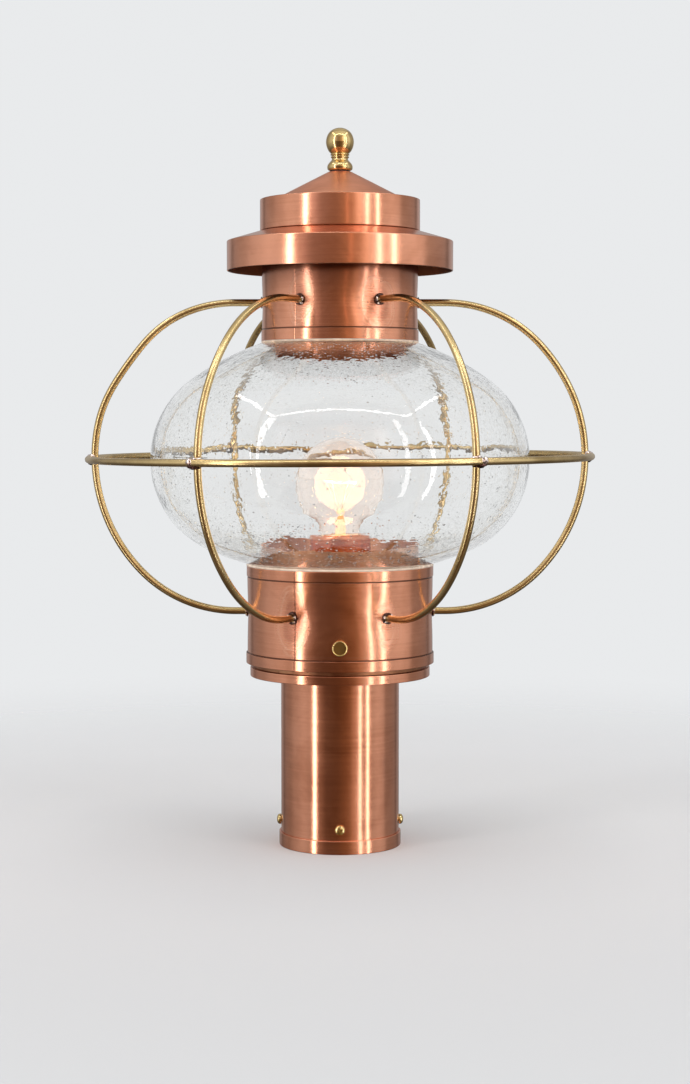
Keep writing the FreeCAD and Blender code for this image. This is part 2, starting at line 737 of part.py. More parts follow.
def build_collar():
    """The collar above the globe, with its lower band, rib holes and vent holes."""
    under_hood = "(hood_crown - hood_slope * (collar_radius - vent_tube_radius) - copper_sheet)"
    collar_top = f"({under_hood} - solder_gap - copper_sheet * hood_slope)"
    collar = turned("collar", ring_outline("collar_inner", "collar_radius", "collar_bottom", collar_top))
    rib_hole = "(rod_radius + solder_gap)"
    bored_round(collar, "upper_rib_holes", "YZ_Plane", "rib_high", rib_hole, "collar_radius", RIB_COUNT)
    bored_round(collar, "collar_vents", "XZ_Plane", "vent_hole_height", "vent_hole_radius",
                "collar_radius", COLLAR_VENT_COUNT)
    turned("collar_band", ring_outline("collar_radius + solder_gap", "collar_radius + lap_wall",
                                       "collar_bottom", "collar_bottom + collar_band_height"))


def rib_path():
    """A rib's centre line: a stub from the collar, two tangent arcs to the guard's middle, and back."""
    stub = value("rib_stub_radius")
    reach = value("rib_reach_radius") - stub
    rise = value("rib_rise")
    shoulder = RIB_SHOULDER_SHARE * min(reach, rise)
    side = (reach ** 2 + (rise - shoulder) ** 2 - shoulder ** 2) / (2 * (reach - shoulder))
    middle = value("guard_mid_height")
    side_centre = spot(stub + reach - side, middle)
    join = math.atan2(rise - shoulder, side - reach)
    upper_centre = spot(stub, middle + rise - shoulder)
    lower_centre = spot(stub, middle - rise + shoulder)
    upper_end = spot(value("collar_inner"), middle + rise)
    lower_end = spot(value("drum_inner"), middle - rise)
    return Part.Wire([
        line_edge(upper_end, spot(stub, middle + rise)),
        arc_edge(upper_centre, shoulder, math.pi / 2, join),
        arc_edge(side_centre, side, join, -join),
        arc_edge(lower_centre, shoulder, -join, -math.pi / 2),
        line_edge(spot(stub, middle - rise), lower_end),
    ])


def rod_along(path, radius):
    """Round rod swept along a centre line that starts straight outward."""
    start = path.Edges[0].valueAt(path.Edges[0].FirstParameter)
    section = Part.Wire([Part.Circle(start, FreeCAD.Vector(1, 0, 0), radius).toShape()])
    return path.makePipeShell([section], True, False)


def build_guard():
    """The brass guard: six ribs coped to the ring, the ring, and the solder at every joint."""
    ring = lifted("Part::Torus", "guard_ring_rod", "guard_mid_height",
                  Radius1="ring_radius", Radius2="rod_radius")
    keep(ring, "guard_ring")
    rod = rod_along(rib_path(), value("rod_radius"))
    middle = FreeCAD.Vector(0, 0, value("guard_mid_height"))
    cope = Part.makeTorus(value("ring_radius"), value("rod_radius + solder_gap"), middle)
    rib = rod.cut(cope)
    ribs = []
    for index in range(RIB_COUNT):
        azimuth = index * FULL_TURN / RIB_COUNT
        ribs.append(shaped(f"guard_rib_{index + 1}", rib, azimuth))
    build_wall_solder("solder_top", "collar_radius", "rib_high")
    build_wall_solder("solder_bottom", "drum_radius", "rib_low")
    build_ring_solder([ring] + ribs)


def build_wall_solder(label, wall_radius, height):
    """A bead of solder round each rib where it meets a wall."""
    beads = []
    for index in range(RIB_COUNT):
        bead = document.addObject("Part::Torus", f"{label}_bead_{index + 1}")
        bind(bead, Radius1="rod_radius + solder_gap + solder_bead", Radius2="solder_bead")
        angle = math.radians(index * FULL_TURN / RIB_COUNT)
        outward = FreeCAD.Vector(math.cos(angle), math.sin(angle), 0)
        turn = FreeCAD.Rotation(FreeCAD.Vector(0, 0, 1), outward)
        bead.Placement = FreeCAD.Placement(FreeCAD.Vector(0, 0, 0), turn)
        out = f"({wall_radius} + solder_gap + solder_bead)"
        bead.setExpression("Placement.Base.x", in_sheet(f"{out} * {outward.x:.9f}"))
        bead.setExpression("Placement.Base.y", in_sheet(f"{out} * {outward.y:.9f}"))
        bead.setExpression("Placement.Base.z", in_sheet(height))
        beads.append(bead)
    group = document.addObject("Part::Compound", f"{label}_beads")
    group.Links = beads
    keep(group, label)


def build_ring_solder(rods):
    """A blob of solder over each crossing of rib and ring, less the rods that it wraps."""
    blobs = []
    crossing = "(ring_radius + rib_reach_radius) / 2"
    for index in range(RIB_COUNT):
        angle = math.radians(index * FULL_TURN / RIB_COUNT)
        blob = document.addObject("Part::Sphere", f"solder_blob_{index + 1}")
        bind(blob, Radius="solder_blob_radius")
        blob.setExpression("Placement.Base.x", in_sheet(f"{crossing} * {math.cos(angle):.9f}"))
        blob.setExpression("Placement.Base.y", in_sheet(f"{crossing} * {math.sin(angle):.9f}"))
        blob.setExpression("Placement.Base.z", in_sheet("guard_mid_height"))
        blobs.append(blob)
    group = document.addObject("Part::Compound", "solder_blobs")
    group.Links = blobs
    wrapped = document.addObject("Part::Compound", "soldered_rods")
    wrapped.Links = rods
    keep(cut("solder_ring_cut", group, wrapped), "solder_ring")


def build_hood():
    """The hood over the collar: an upright flange and a low cone up to the vent tube."""
    inner = "(hood_radius - copper_sheet)"
    hole = "(vent_tube_radius + solder_gap)"
    turned("hood", [
        (inner, "hood_bottom"),
        ("hood_radius", "hood_bottom"),
        ("hood_radius", "hood_top - folded_edge"),
        ("hood_radius - folded_edge", "hood_top"),
        (hole, "hood_crown"),
        (hole, "hood_crown - copper_sheet"),
        (inner, "hood_top - copper_sheet"),
    ])
    vent = turned("vent_tube", ring_outline("vent_tube_radius - copper_sheet", "vent_tube_radius",
                                            "hood_crown - vent_tube_drop", "vent_tube_top"))
    vent_middle = "((hood_crown + vent_tube_top) / 2)"
    bored_round(vent, "vent_tube_holes", "XZ_Plane", vent_middle, "tube_vent_radius",
                "vent_tube_radius", TUBE_VENT_COUNT)


def build_stud():
    """The strap across the vent tube, and the stud and nuts that the finial pulls on."""
    strap = document.addObject("Part::Box", "bridge_strap")
    bind(strap, Length="2 * vent_tube_radius", Width="bridge_width", Height="bridge_thick")
    strap.setExpression("Placement.Base.x", in_sheet("-vent_tube_radius"))
    strap.setExpression("Placement.Base.y", in_sheet("-bridge_width / 2"))
    strap.setExpression("Placement.Base.z", in_sheet("bridge_height"))
    span = lifted("Part::Cylinder", "bridge_span", "bridge_height - cut_overrun",
                  Radius="vent_tube_radius - copper_sheet - solder_gap",
                  Height="bridge_thick + 2 * cut_overrun")
    trimmed = document.addObject("Part::Common", "bridge_trimmed")
    trimmed.Base = strap
    trimmed.Tool = span
    hole = lifted("Part::Cylinder", "bridge_hole", "bridge_height - cut_overrun",
                  Radius="stud_radius + solder_gap", Height="bridge_thick + 2 * cut_overrun")
    keep(cut("bridge_cut", trimmed, hole), "cap_bridge")
    nut_size = ("stud_nut_circumradius", "stud_nut_height", "stud_radius + solder_gap")
    lower = hex_nut("stud_nut_below", "(bridge_height - stud_nut_height - solder_gap)", *nut_size)
    upper = hex_nut("stud_nut_above", "(bridge_height + bridge_thick + solder_gap)", *nut_size)
    pair = document.addObject("Part::Compound", "stud_nut_pair")
    pair.Links = [lower, upper]
    keep(pair, "stud_nuts")
    turned("cap_stud", ring_outline("0", "stud_radius", "bridge_height - stud_nut_height - stud_tail",
                                    "stud_top"))


def build_cap():
    """The cap that lifts off: a skirt with a flat shoulder, and the cone on it."""
    inner = "(cap_radius - copper_sheet)"
    shoulder = "(cone_base_radius - 2 * copper_sheet)"
    turned("cap_skirt", [
        (inner, "cap_bottom"),
        ("cap_radius", "cap_bottom"),
        ("cap_radius", "cap_top - folded_edge"),
        ("cap_radius - folded_edge", "cap_top"),
        (shoulder, "cap_top"),
        (shoulder, "cap_top - copper_sheet"),
        (inner, "cap_top - copper_sheet"),
    ])
    cone_bottom = "(cap_top + solder_gap)"
    turned("cap_cone", [
        ("stud_hole", "cone_tip_height - copper_sheet"),
        (f"cone_tip_radius + copper_sheet - cone_run_in * {CONE_LAND_SHARE}",
         "cone_tip_height - copper_sheet"),
        ("cone_base_radius - cone_run_in", cone_bottom),
        ("cone_base_radius", cone_bottom),
        ("cone_tip_radius", "cone_tip_height"),
        ("stud_hole", "cone_tip_height"),
    ])


def build_finial():
    """The turned finial and its seal. The ball, neck and flare follow one outline."""
    turned("finial_seal", ring_outline("stud_hole", "seal_radius", "cone_tip_height + solder_gap",
                                       "cone_tip_height + solder_gap + seal_height"))
    foot = value("finial_foot")
    bore = value("stud_hole")
    neck = value("finial_neck_radius")
    ball = value("finial_ball_radius")
    ball_centre = spot(0, value("finial_top") - ball)
    ball_start = -math.acos(neck / ball)
    ball_foot = on_circle(ball_centre, ball, ball_start)
    flare = value("finial_flare_radius")
    flare_low = foot + value("finial_flare_rise")
    flare_high = flare_low + value("finial_flare_land")
    neck_low = foot + value("finial_neck_rise")
    bead_low = spot(neck, neck_low + (ball_foot.z - neck_low) * BEAD_FOOT_SHARE)
    bead_middle = spot(value("finial_bead_radius"), (bead_low.z + ball_foot.z) / 2)
    cove_middle = spot(neck + (flare - neck) * COVE_WIDTH_SHARE,
                       flare_high + (neck_low - flare_high) * COVE_RISE_SHARE)
    bore_top = foot + value("finial_bore_rise")
    foot_edge = spot(value("finial_foot_radius"), foot)
    flare_middle = spot(flare - (flare - foot_edge.x) * FLARE_SWELL_SHARE,
                        foot + value("finial_flare_rise") / 2)
    edges = [
        line_edge(spot(bore, foot), foot_edge),
        Part.Arc(foot_edge, flare_middle, spot(flare, flare_low)).toShape(),
        line_edge(spot(flare, flare_low), spot(flare, flare_high)),
        Part.Arc(spot(flare, flare_high), cove_middle, spot(neck, neck_low)).toShape(),
        line_edge(spot(neck, neck_low), bead_low),
        Part.Arc(bead_low, bead_middle, ball_foot).toShape(),
        arc_edge(ball_centre, ball, ball_start, math.pi / 2),
        line_edge(spot(0, value("finial_top")), spot(0, bore_top)),
        line_edge(spot(0, bore_top), spot(bore, bore_top)),
        line_edge(spot(bore, bore_top), spot(bore, foot)),
    ]
    shaped("finial", spun(edges))


def write_pieces():
    """Stop if any object failed or any piece is not sound, then write every piece to its own file."""
    for item in document.Objects:
        if {"Invalid", "Error"} & set(item.State):
            raise RuntimeError(f"{item.Label} failed: {item.State}")
    for label, feature in nodes.items():
        shape = feature.Shape
        if shape.isNull() or not shape.isValid() or not shape.Solids:
            raise RuntimeError(f"{label} has no sound solid")
    os.makedirs("parts", exist_ok=True)
    for label, feature in nodes.items():
        feature.Shape.exportStep(f"parts/{label}.step")
    print(f"{len(nodes)} pieces written")


build_foot()
build_base()
build_socket()
build_bulb()
build_drum()
build_globe()
build_collar()
build_guard()
build_hood()
build_stud()
build_cap()
build_finial()
document.recompute()
write_pieces()
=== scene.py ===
"""Onion post lantern: the finishes and fine pieces of the lantern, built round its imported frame.

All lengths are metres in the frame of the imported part, unless they are said to be millimetres: the foot stands on
z = 0, the upright axis is x = y = 0, and the thumb screw is on the -Y side.
"""
import json
import logging
import math
from collections.abc import Callable
from dataclasses import dataclass
from enum import Enum
from functools import reduce

import bpy
import numpy as np
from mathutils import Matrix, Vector


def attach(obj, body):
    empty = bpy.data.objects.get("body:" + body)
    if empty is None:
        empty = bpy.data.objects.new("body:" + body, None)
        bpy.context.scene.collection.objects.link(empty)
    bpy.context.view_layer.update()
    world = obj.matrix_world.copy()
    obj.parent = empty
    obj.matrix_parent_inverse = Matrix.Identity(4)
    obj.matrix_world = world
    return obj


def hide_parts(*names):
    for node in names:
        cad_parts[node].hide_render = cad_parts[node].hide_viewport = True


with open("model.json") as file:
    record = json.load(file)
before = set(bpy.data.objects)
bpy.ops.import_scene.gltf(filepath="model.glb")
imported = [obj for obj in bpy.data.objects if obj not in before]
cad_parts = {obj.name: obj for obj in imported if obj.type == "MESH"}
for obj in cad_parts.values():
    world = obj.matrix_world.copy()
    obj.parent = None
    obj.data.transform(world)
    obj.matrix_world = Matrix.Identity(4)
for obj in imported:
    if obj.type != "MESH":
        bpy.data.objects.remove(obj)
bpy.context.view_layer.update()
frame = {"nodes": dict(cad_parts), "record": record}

LOG = logging.getLogger("lantern")
MM = 0.001
TURN = 2.0 * math.pi
DEGREES = 180.0 / math.pi
RIBS = 6
SHEET_PITCH = 3.2 * MM
UP = np.array([0.0, 0.0, 1.0])
Array = np.ndarray
Colour = tuple[float, float, float]
Triple = tuple[float, float, float]
Pairs = tuple[tuple[float, float], ...]
Stops = tuple[tuple[float, Colour], ...]
Lumps = tuple[tuple[float, float, float, Triple], ...]


class Body(Enum):
    """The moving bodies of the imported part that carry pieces. Each set screw's body has its node's name."""

    BASE = "base"
    CAGE = "cage"
    CAP = "cap"
    FINIAL = "finial"
    THUMB_SCREW = "thumb_screw"
    BULB = "bulb"


class Slot(Enum):
    """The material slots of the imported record."""

    COPPER = "copper"
    BRASS = "brass"
    SOLDER = "silver_solder"
    SEEDED_GLASS = "seeded_glass"
    BULB_GLASS = "bulb_glass"
    FILAMENT = "filament"
    NICKEL = "nickel"
    BLACK_GLASS = "black_glass"
    PORCELAIN = "porcelain"
    PLASTIC = "plastic"
    RUBBER = "seal_rubber"


# Surfaces as whole arrays ------------------------------------------------------------------------


@dataclass
class Surface:
    """Points and faces of a mesh. A face row may hold -1, which makes it a triangle."""

    points: Array
    faces: Array

    def moved(self, offset: Array) -> "Surface":
        """The same surface shifted by an offset."""
        return Surface(self.points + np.asarray(offset), self.faces)

    def turned_to(self, outward: Array) -> "Surface":
        """The surface with its own +Z turned to the level direction outward, and its own +Y upright."""
        across = np.array([-outward[1], outward[0], 0.0])
        return Surface(self.points @ np.stack([across, UP, outward]), self.faces)

    def spun(self, angle: float) -> "Surface":
        """The surface turned about the upright axis by an angle in radians."""
        c, s = math.cos(angle), math.sin(angle)
        return Surface(self.points @ np.array([[c, s, 0.0], [-s, c, 0.0], [0.0, 0.0, 1.0]]), self.faces)

    def swollen(self, shift: Array) -> "Surface":
        """The surface with each point moved away from the upright axis by its own shift."""
        level = self.points * np.array([1.0, 1.0, 0.0])
        outward = level / np.linalg.norm(level, axis=1)[:, None].clip(1e-9)
        return Surface(self.points + outward * shift[:, None], self.faces)

    def welded(self, grain: float = 1e-6) -> "Surface":
        """The surface with points that share a place made one."""
        keys = np.round(self.points / grain).astype(np.int64)
        _, first, numbers = np.unique(keys, axis=0, return_index=True, return_inverse=True)
        return Surface(self.points[first], np.where(self.faces < 0, -1, numbers.reshape(-1)[self.faces]))

    def mesh(self, name: str, finish: bpy.types.Material) -> bpy.types.Mesh:
        """A mesh of the surface. A corner that repeats the one before it, as at a pole, is left out of its face."""
        faces = np.where(self.faces == np.roll(self.faces, 1, axis=1), -1, self.faces)
        rows = [row[row >= 0].tolist() for row in faces[(faces >= 0).sum(axis=1) >= 3]]
        mesh = bpy.data.meshes.new(name)
        mesh.from_pydata(self.points.tolist(), [], rows)
        mesh.update()
        mesh.materials.append(finish)
        return mesh

    @staticmethod
    def joined(parts: list["Surface"]) -> "Surface":
        """Several surfaces as one, with the faces renumbered."""
        starts = np.cumsum([0] + [len(part.points) for part in parts[:-1]])
        faces = [np.where(part.faces < 0, -1, part.faces + start) for part, start in zip(parts, starts)]
        return Surface(np.concatenate([part.points for part in parts]), np.concatenate(faces))


def polar(radius: Array | float, angle: Array | float, height: Array | float) -> Array:
    """Points about the upright axis: x = r cos a, y = r sin a, z = h."""
    return np.stack(np.broadcast_arrays(radius * np.cos(angle), radius * np.sin(angle), height), axis=-1)


def arc(centre: Array, radius: float, angle: Array) -> Array:
    """Points of a flat arc: centre + radius (cos a, sin a)."""
    return np.asarray(centre) + radius * np.stack([np.cos(angle), np.sin(angle)], axis=1)


def curve(a: Array, corner: Array, b: Array, t: Array) -> Array:
    """A curve that leaves a towards a corner and reaches b from it: (1-t)^2 a + 2t(1-t) corner + t^2 b."""
    return (1 - t) ** 2 * a + 2 * t * (1 - t) * corner + t**2 * b


def rounded_outline(corners: Array, radii: Array | float, steps: int = 4) -> Array:
    """Round every corner of a closed outline by the curve from a point a before it to a point b past it.

    a and b lie one radius away on its two sides, and a radius is at most 0.42 of the shorter side. One more point on
    each side, just past the curve, keeps the flat face beyond it flat in the light.

    Args:
        corners: (n, 2) corners in order.
        radii: one radius, or one for each corner.
        steps: parts that each curve is divided into.

    Returns:
        (n * (steps + 3), 2) points in order.
    """
    before = np.roll(corners, 1, axis=0) - corners
    after = np.roll(corners, -1, axis=0) - corners
    sides = [np.linalg.norm(run, axis=1)[:, None] for run in (before, after)]
    reach = np.minimum(np.broadcast_to(radii, len(corners))[:, None], 0.42 * np.minimum(*sides))
    ways = before / sides[0], after / sides[1]
    a, b = (corners + way * reach for way in ways)
    holds = [(corners + way * np.minimum(reach * 1.25 + 0.06 * MM, 0.48 * side))[:, None]
             for way, side in zip(ways, sides)]
    t = np.linspace(0.0, 1.0, steps + 1)[None, :, None]
    bend = curve(a[:, None], corners[:, None], b[:, None], t)
    return np.concatenate([holds[0], bend, holds[1]], axis=1).reshape(-1, 2)


def spaced(outline: Array, pitch: float, closed: bool = True) -> Array:
    """Add points to an outline so that no run is longer than a pitch, with its own points kept.

    Args:
        outline: (n, 2) or (n, 3) points in order.
        pitch: the longest run allowed.
        closed: whether the last point joins the first.

    Returns:
        The denser outline.
    """
    line = np.concatenate([outline, outline[:1]]) if closed else outline
    length = np.concatenate([[0.0], np.cumsum(np.linalg.norm(np.diff(line, axis=0), axis=1))])
    even = np.linspace(0.0, length[-1], max(2, int(length[-1] / pitch)))
    even = even[np.abs(even[:, None] - length[None]).min(axis=1) > 0.2 * pitch]
    marks = np.unique(np.concatenate([length, even]))
    marks = marks[np.concatenate([[True], np.diff(marks) > 1e-6])]
    dense = np.stack([np.interp(marks, length, line[:, axis]) for axis in range(line.shape[1])], axis=1)
    return dense[:-1] if closed else dense


def smooth_line(points: Array, steps: int = 6) -> Array:
    """A smooth line through points: between two of them it is the cubic whose ends' directions are half the step
    from the point before to the point after (a Catmull-Rom curve).

    Args:
        points: (n, 2) or (n, 3) points in order.
        steps: parts between two points.

    Returns:
        The denser line, with the points on it.
    """
    padded = np.concatenate([2 * points[:1] - points[1:2], points, 2 * points[-1:] - points[-2:-1]])
    before, here, there, after = (part[:, None] for part in (padded[:-3], padded[1:-2], padded[2:-1], padded[3:]))
    t = (np.arange(steps) / steps)[None, :, None]
    line = 0.5 * (2 * here + (there - before) * t + (2 * before - 5 * here + 4 * there - after) * t**2
                  + (3 * here - before - 3 * there + after) * t**3)
    return np.concatenate([line.reshape(-1, points.shape[1]), points[-1:]])


def grid_faces(rows: int, columns: int, close_rows: bool) -> Array:
    """Four-sided faces of a grid whose point (i, j) has number i * columns + j and whose columns close into a ring,
    wound to face outward on a lathe."""
    i = np.arange(rows if close_rows else rows - 1)[:, None]
    j = np.arange(columns)[None, :]
    i_next, j_next = (i + 1) % rows, (j + 1) % columns
    quads = [i * columns + j, i * columns + j_next, i_next * columns + j_next, i_next * columns + j]
    return np.stack([np.broadcast_to(quad, (i.size, j.size)) for quad in quads], axis=-1).reshape(-1, 4)


def wall(outline: Array, segments: int, closed: bool = False) -> Surface:
    """Turn a run of (radius, height) about the upright axis, with nothing at its ends."""
    points = polar(outline[:, 0][:, None], np.arange(segments) * TURN / segments, outline[:, 1][:, None])
    return Surface(points.reshape(-1, 3), grid_faces(len(outline), segments, closed))


def lathe(outline: Array, segments: int, closed: bool = True) -> Surface:
    """Turn an outline of (radius, height) about the upright axis.

    The outline runs so that the solid is on its left: upward on an outer face. An open outline may start and end
    on the axis, where its ring becomes one point.

    Args:
        outline: (n, 2) radii and heights.
        segments: steps round the axis.
        closed: whether the outline closes on itself.

    Returns:
        The turned surface.
    """
    surface = wall(outline, segments, closed)
    if closed:
        return surface
    for ring in (0, len(outline) - 1):
        if outline[ring, 0] < 1e-9:
            at_pole = np.isin(surface.faces, np.arange(segments) + ring * segments)
            surface.faces = np.where(at_pole, ring * segments, surface.faces)
    return surface.welded()


def tube(path: Array, radius: Array | float, sides: int = 20, closed: bool = False) -> Surface:
    """A round tube along a path: p + radius (cos a u + sin a v), where u and v are square to the path.

    u is carried along the path by taking out, at each point, its part along the path's direction, starting from
    one level direction, so that it never twists.

    Args:
        path: (n, 3) points.
        radius: one radius, or one for each point.
        sides: sides of the tube.
        closed: whether the path closes on itself.

    Returns:
        The tube, with flat ends when it is open.
    """
    ahead = np.roll(path, -1, axis=0) - np.roll(path, 1, axis=0)
    if not closed:
        ahead[0], ahead[-1] = path[1] - path[0], path[-1] - path[-2]
    ahead /= np.linalg.norm(ahead, axis=1)[:, None]
    start = UP if abs(ahead[0, 2]) < 0.9 else np.array([1.0, 0.0, 0.0])
    normals = [start - ahead[0] * (start @ ahead[0])]
    for direction in ahead[1:]:
        normals.append(normals[-1] - direction * (normals[-1] @ direction))
        normals[-1] /= np.linalg.norm(normals[-1])
    u = np.stack(normals) / np.linalg.norm(np.stack(normals), axis=1)[:, None]
    v = np.cross(ahead, u)
    angle = np.arange(sides) * TURN / sides
    reach = np.broadcast_to(radius, len(path))[:, None, None]
    ring = np.cos(angle)[None, :, None] * u[:, None] + np.sin(angle)[None, :, None] * v[:, None]
    points = (path[:, None] + reach * ring).reshape(-1, 3)
    faces = grid_faces(len(path), sides, closed)
    if closed:
        return Surface(points, faces)
    count, spokes = len(points), np.arange(sides)
    ends = []
    for centre, first, order in ((count, 0, 1), (count + 1, count - sides, -1)):
        pair = np.stack([first + (spokes + 1) % sides, first + spokes], axis=1)[:, ::order]
        ends.append(np.concatenate([np.full((sides, 1), centre), pair, np.full((sides, 1), -1)], axis=1))
    return Surface(np.concatenate([points, path[:1], path[-1:]]), np.concatenate([faces] + ends))


def ball(segments: int, rings: int) -> Surface:
    """A round ball of radius 1: a half circle turned about the upright axis."""
    outline = arc([0.0, 0.0], 1.0, np.linspace(-math.pi / 2, math.pi / 2, rings + 1))
    outline[[0, -1], 0] = 0.0
    return lathe(outline, segments, closed=False)


def waves(points: Array, scale: float, seed: int, count: int = 9) -> Array:
    """Smooth uneven values about -1 to 1: the sum of plane waves in seeded directions and phases, over the root of
    their count.

    Args:
        points: (n, 3) places.
        scale: the typical wave length.
        seed: seed of the directions and phases.
        count: number of waves.

    Returns:
        One value for each point.
    """
    draw = np.random.default_rng(seed)
    direction = draw.normal(size=(count, 3))
    direction /= np.linalg.norm(direction, axis=1)[:, None]
    pace = TURN / (scale * draw.uniform(0.7, 1.5, count))
    phase = draw.uniform(0.0, TURN, count)
    return np.sin(points @ (direction * pace[:, None]).T + phase).sum(axis=1) / math.sqrt(count)


@dataclass(frozen=True)
class Dent:
    """A soft hollow beaten or heated into a sheet wall: depth x exp(-(distance / spread)^2 / 2)."""

    azimuth: float
    height: float
    depth: float
    spread: float

    def shift(self, points: Array) -> Array:
        """How far each point of a wall moves outward because of this dent."""
        centre = polar(np.hypot(points[:, 0], points[:, 1]), math.radians(self.azimuth), self.height)
        distance = np.linalg.norm(points - centre, axis=1)
        return -self.depth * np.exp(-0.5 * (distance / self.spread) ** 2)

    @staticmethod
    def all_round(height: float, rows: tuple[tuple[float, ...], ...], deepening: float = 1.8) -> tuple["Dent", ...]:
        """The hollows round the ribs' ends.

        Args:
            height: the ribs' ends.
            rows: for each hollow its azimuth, its height above the ends, its depth and its spread, in millimetres.
            deepening: what every depth is multiplied by.

        Returns:
            The dents.
        """
        return tuple(Dent(azimuth, height + rise * MM, deepening * depth * MM, spread * MM)
                     for azimuth, rise, depth, spread in rows)


def dented(surface: Surface, dents: tuple[Dent, ...], sway: tuple[float, float, int]) -> Surface:
    """A wall of sheet moved outward by its dents and by slow waves of a height and a length, in millimetres, and
    with a seed."""
    height, length, seed = sway
    hollows = sum((dent.shift(surface.points) for dent in dents), np.zeros(len(surface.points)))
    return surface.swollen(height * MM * waves(surface.points, length * MM, seed) + hollows)


# Node trees ----------------------------------------------------------------------------------------


class Value:
    """What a node gives. With +, -, * and / a number makes the math node for it."""

    def __init__(self, graph: "Graph", socket: bpy.types.NodeSocket) -> None:
        """Keep the graph and the socket."""
        self.graph, self.socket = graph, socket

    def __add__(self, other: "Value | float") -> "Value":
        """The sum."""
        return self.graph.math("ADD", self, other)

    def __sub__(self, other: "Value | float") -> "Value":
        """The difference."""
        return self.graph.math("SUBTRACT", self, other)

    def __mul__(self, other: "Value | float") -> "Value":
        """The product."""
        return self.graph.math("MULTIPLY", self, other)

    def __truediv__(self, other: "Value | float") -> "Value":
        """The quotient."""
        return self.graph.math("DIVIDE", self, other)

    def __abs__(self) -> "Value":
        """The number without its sign."""
        return self.graph.math("ABSOLUTE", self)


Number = Value | float


class Graph:
    """Builds a node tree from nested calls. An input is a constant or the value that another node gives."""

    def __init__(self, tree: bpy.types.NodeTree) -> None:
        """Empty the tree and keep it."""
        tree.nodes.clear()
        self.tree = tree

    def node(self, kind: str, inputs: dict | None = None, **settings: object) -> bpy.types.Node:
        """Add a node.

        Args:
            kind: the node's type name, without its "ShaderNode" start.
            inputs: constants or values by input name or number. A colour is given without its alpha.
            **settings: the node's own options.

        Returns:
            The node.
        """
        made = self.tree.nodes.new("ShaderNode" + kind)
        for name, option in settings.items():
            setattr(made, name, option)
        for name, given in (inputs or {}).items():
            socket = made.inputs[name]
            if isinstance(given, Value):
                self.tree.links.new(given.socket, socket)
            else:
                socket.default_value = (*given, 1.0) if socket.type == "RGBA" else given
        return made

    def value(self, kind: str, inputs: dict | None = None, output: int | str = 0, **settings: object) -> Value:
        """What a new node gives."""
        return Value(self, self.node(kind, inputs, **settings).outputs[output])

    def math(self, operation: str, *values: Number) -> Value:
        """A sum, product or other function of one to three numbers."""
        return self.value("Math", dict(enumerate(values)), operation=operation)

    def most(self, *values: Number) -> Value:
        """The largest of several numbers."""
        return reduce(lambda first, second: self.math("MAXIMUM", first, second), values)

    def reach(self, x: Value, y: Value) -> Value:
        """The length of a flat vector: the root of x^2 + y^2."""
        return self.math("SQRT", x * x + y * y)

    def place(self) -> Value:
        """Where a point is in the object's own frame, which is the part's frame."""
        return self.value("TexCoord", output="Object")

    def ray(self, kind: str) -> Value:
        """Whether the ray is of a kind, or its count of a kind."""
        return self.value("LightPath", output=kind)

    def split(self, vector: Value) -> list[Value]:
        """The three parts of a vector."""
        return [Value(self, part) for part in self.node("SeparateXYZ", {0: vector}).outputs]

    def join(self, x: Number, y: Number, z: Number) -> Value:
        """A vector from three numbers."""
        return self.value("CombineXYZ", {0: x, 1: y, 2: z})

    def noise(self, vector: Value, scale: float, detail: float = 2.0, rough: float = 0.5,
              distortion: float = 0.0) -> Value:
        """Cloudy values from 0 to 1."""
        return self.value("TexNoise", {"Vector": vector, "Scale": scale, "Detail": detail, "Roughness": rough,
                                       "Distortion": distortion})

    def between(self, value: Value, low: float, high: float, to_low: float = 0.0, to_high: float = 1.0,
                kind: str = "SMOOTHSTEP") -> Value:
        """A value carried from one range to another and held at its ends."""
        inputs = {"Value": value, "From Min": low, "From Max": high, "To Min": to_low, "To Max": to_high}
        return self.value("MapRange", inputs, interpolation_type=kind)

    def blend(self, share: Value, first: Value | Colour, second: Value | Colour) -> Value:
        """One colour at share 0, the other at share 1."""
        return self.value("Mix", {0: share, 6: first, 7: second}, output=2, data_type="RGBA")

    def ramp(self, value: Value, stops: Stops, low: float, high: float) -> Value:
        """A colour that changes along a value from low to high, smoothly through stops given in the value's units."""
        made = self.node("ValToRGB", {0: self.between(value, low, high, kind="LINEAR")})
        made.color_ramp.interpolation = "EASE"
        elements = made.color_ramp.elements
        while len(elements) < len(stops):
            elements.new(0.5)
        for element, (place, colour) in zip(elements, stops):
            element.position = (place - low) / (high - low)
            element.color = (*colour, 1.0)
        return Value(self, made.outputs[0])

    def times(self, first: Value, second: Value) -> Value:
        """The product of two colours."""
        return self.value("VectorMath", {0: first, 1: second}, operation="MULTIPLY")

    def bump(self, height: Value, strength: float, distance: float, under: Value | None = None) -> Value:
        """A surface direction tilted by a height pattern, on top of another one if given."""
        inputs = {"Height": height, "Strength": strength, "Distance": distance}
        return self.value("Bump", inputs | ({"Normal": under} if under else {}))

    def principled(self, **inputs: object) -> Value:
        """The main shader. Keyword names are its input names with _ for a space."""
        return self.value("BsdfPrincipled", {name.replace("_", " "): given for name, given in inputs.items()})

    def output(self, shader: Value, kind: str = "OutputMaterial") -> None:
        """Join a shader to the tree's output."""
        self.node(kind, {0: shader})

    def clear_to_lamps(self, shader: Value, tint: Colour) -> Value:
        """A shader that lets lamp light through, so that glass casts only a faint shadow."""
        clear = self.value("BsdfTransparent", {"Color": tint})
        return self.value("MixShader", {0: self.ray("Is Shadow Ray"), 1: shader, 2: clear})


def new_material(name: str) -> tuple[bpy.types.Material, Graph]:
    """An empty node material and the graph that fills it."""
    material = bpy.data.materials.new(name)
    material.use_nodes = True
    return material, Graph(material.node_tree)


# Finishes ------------------------------------------------------------------------------------------


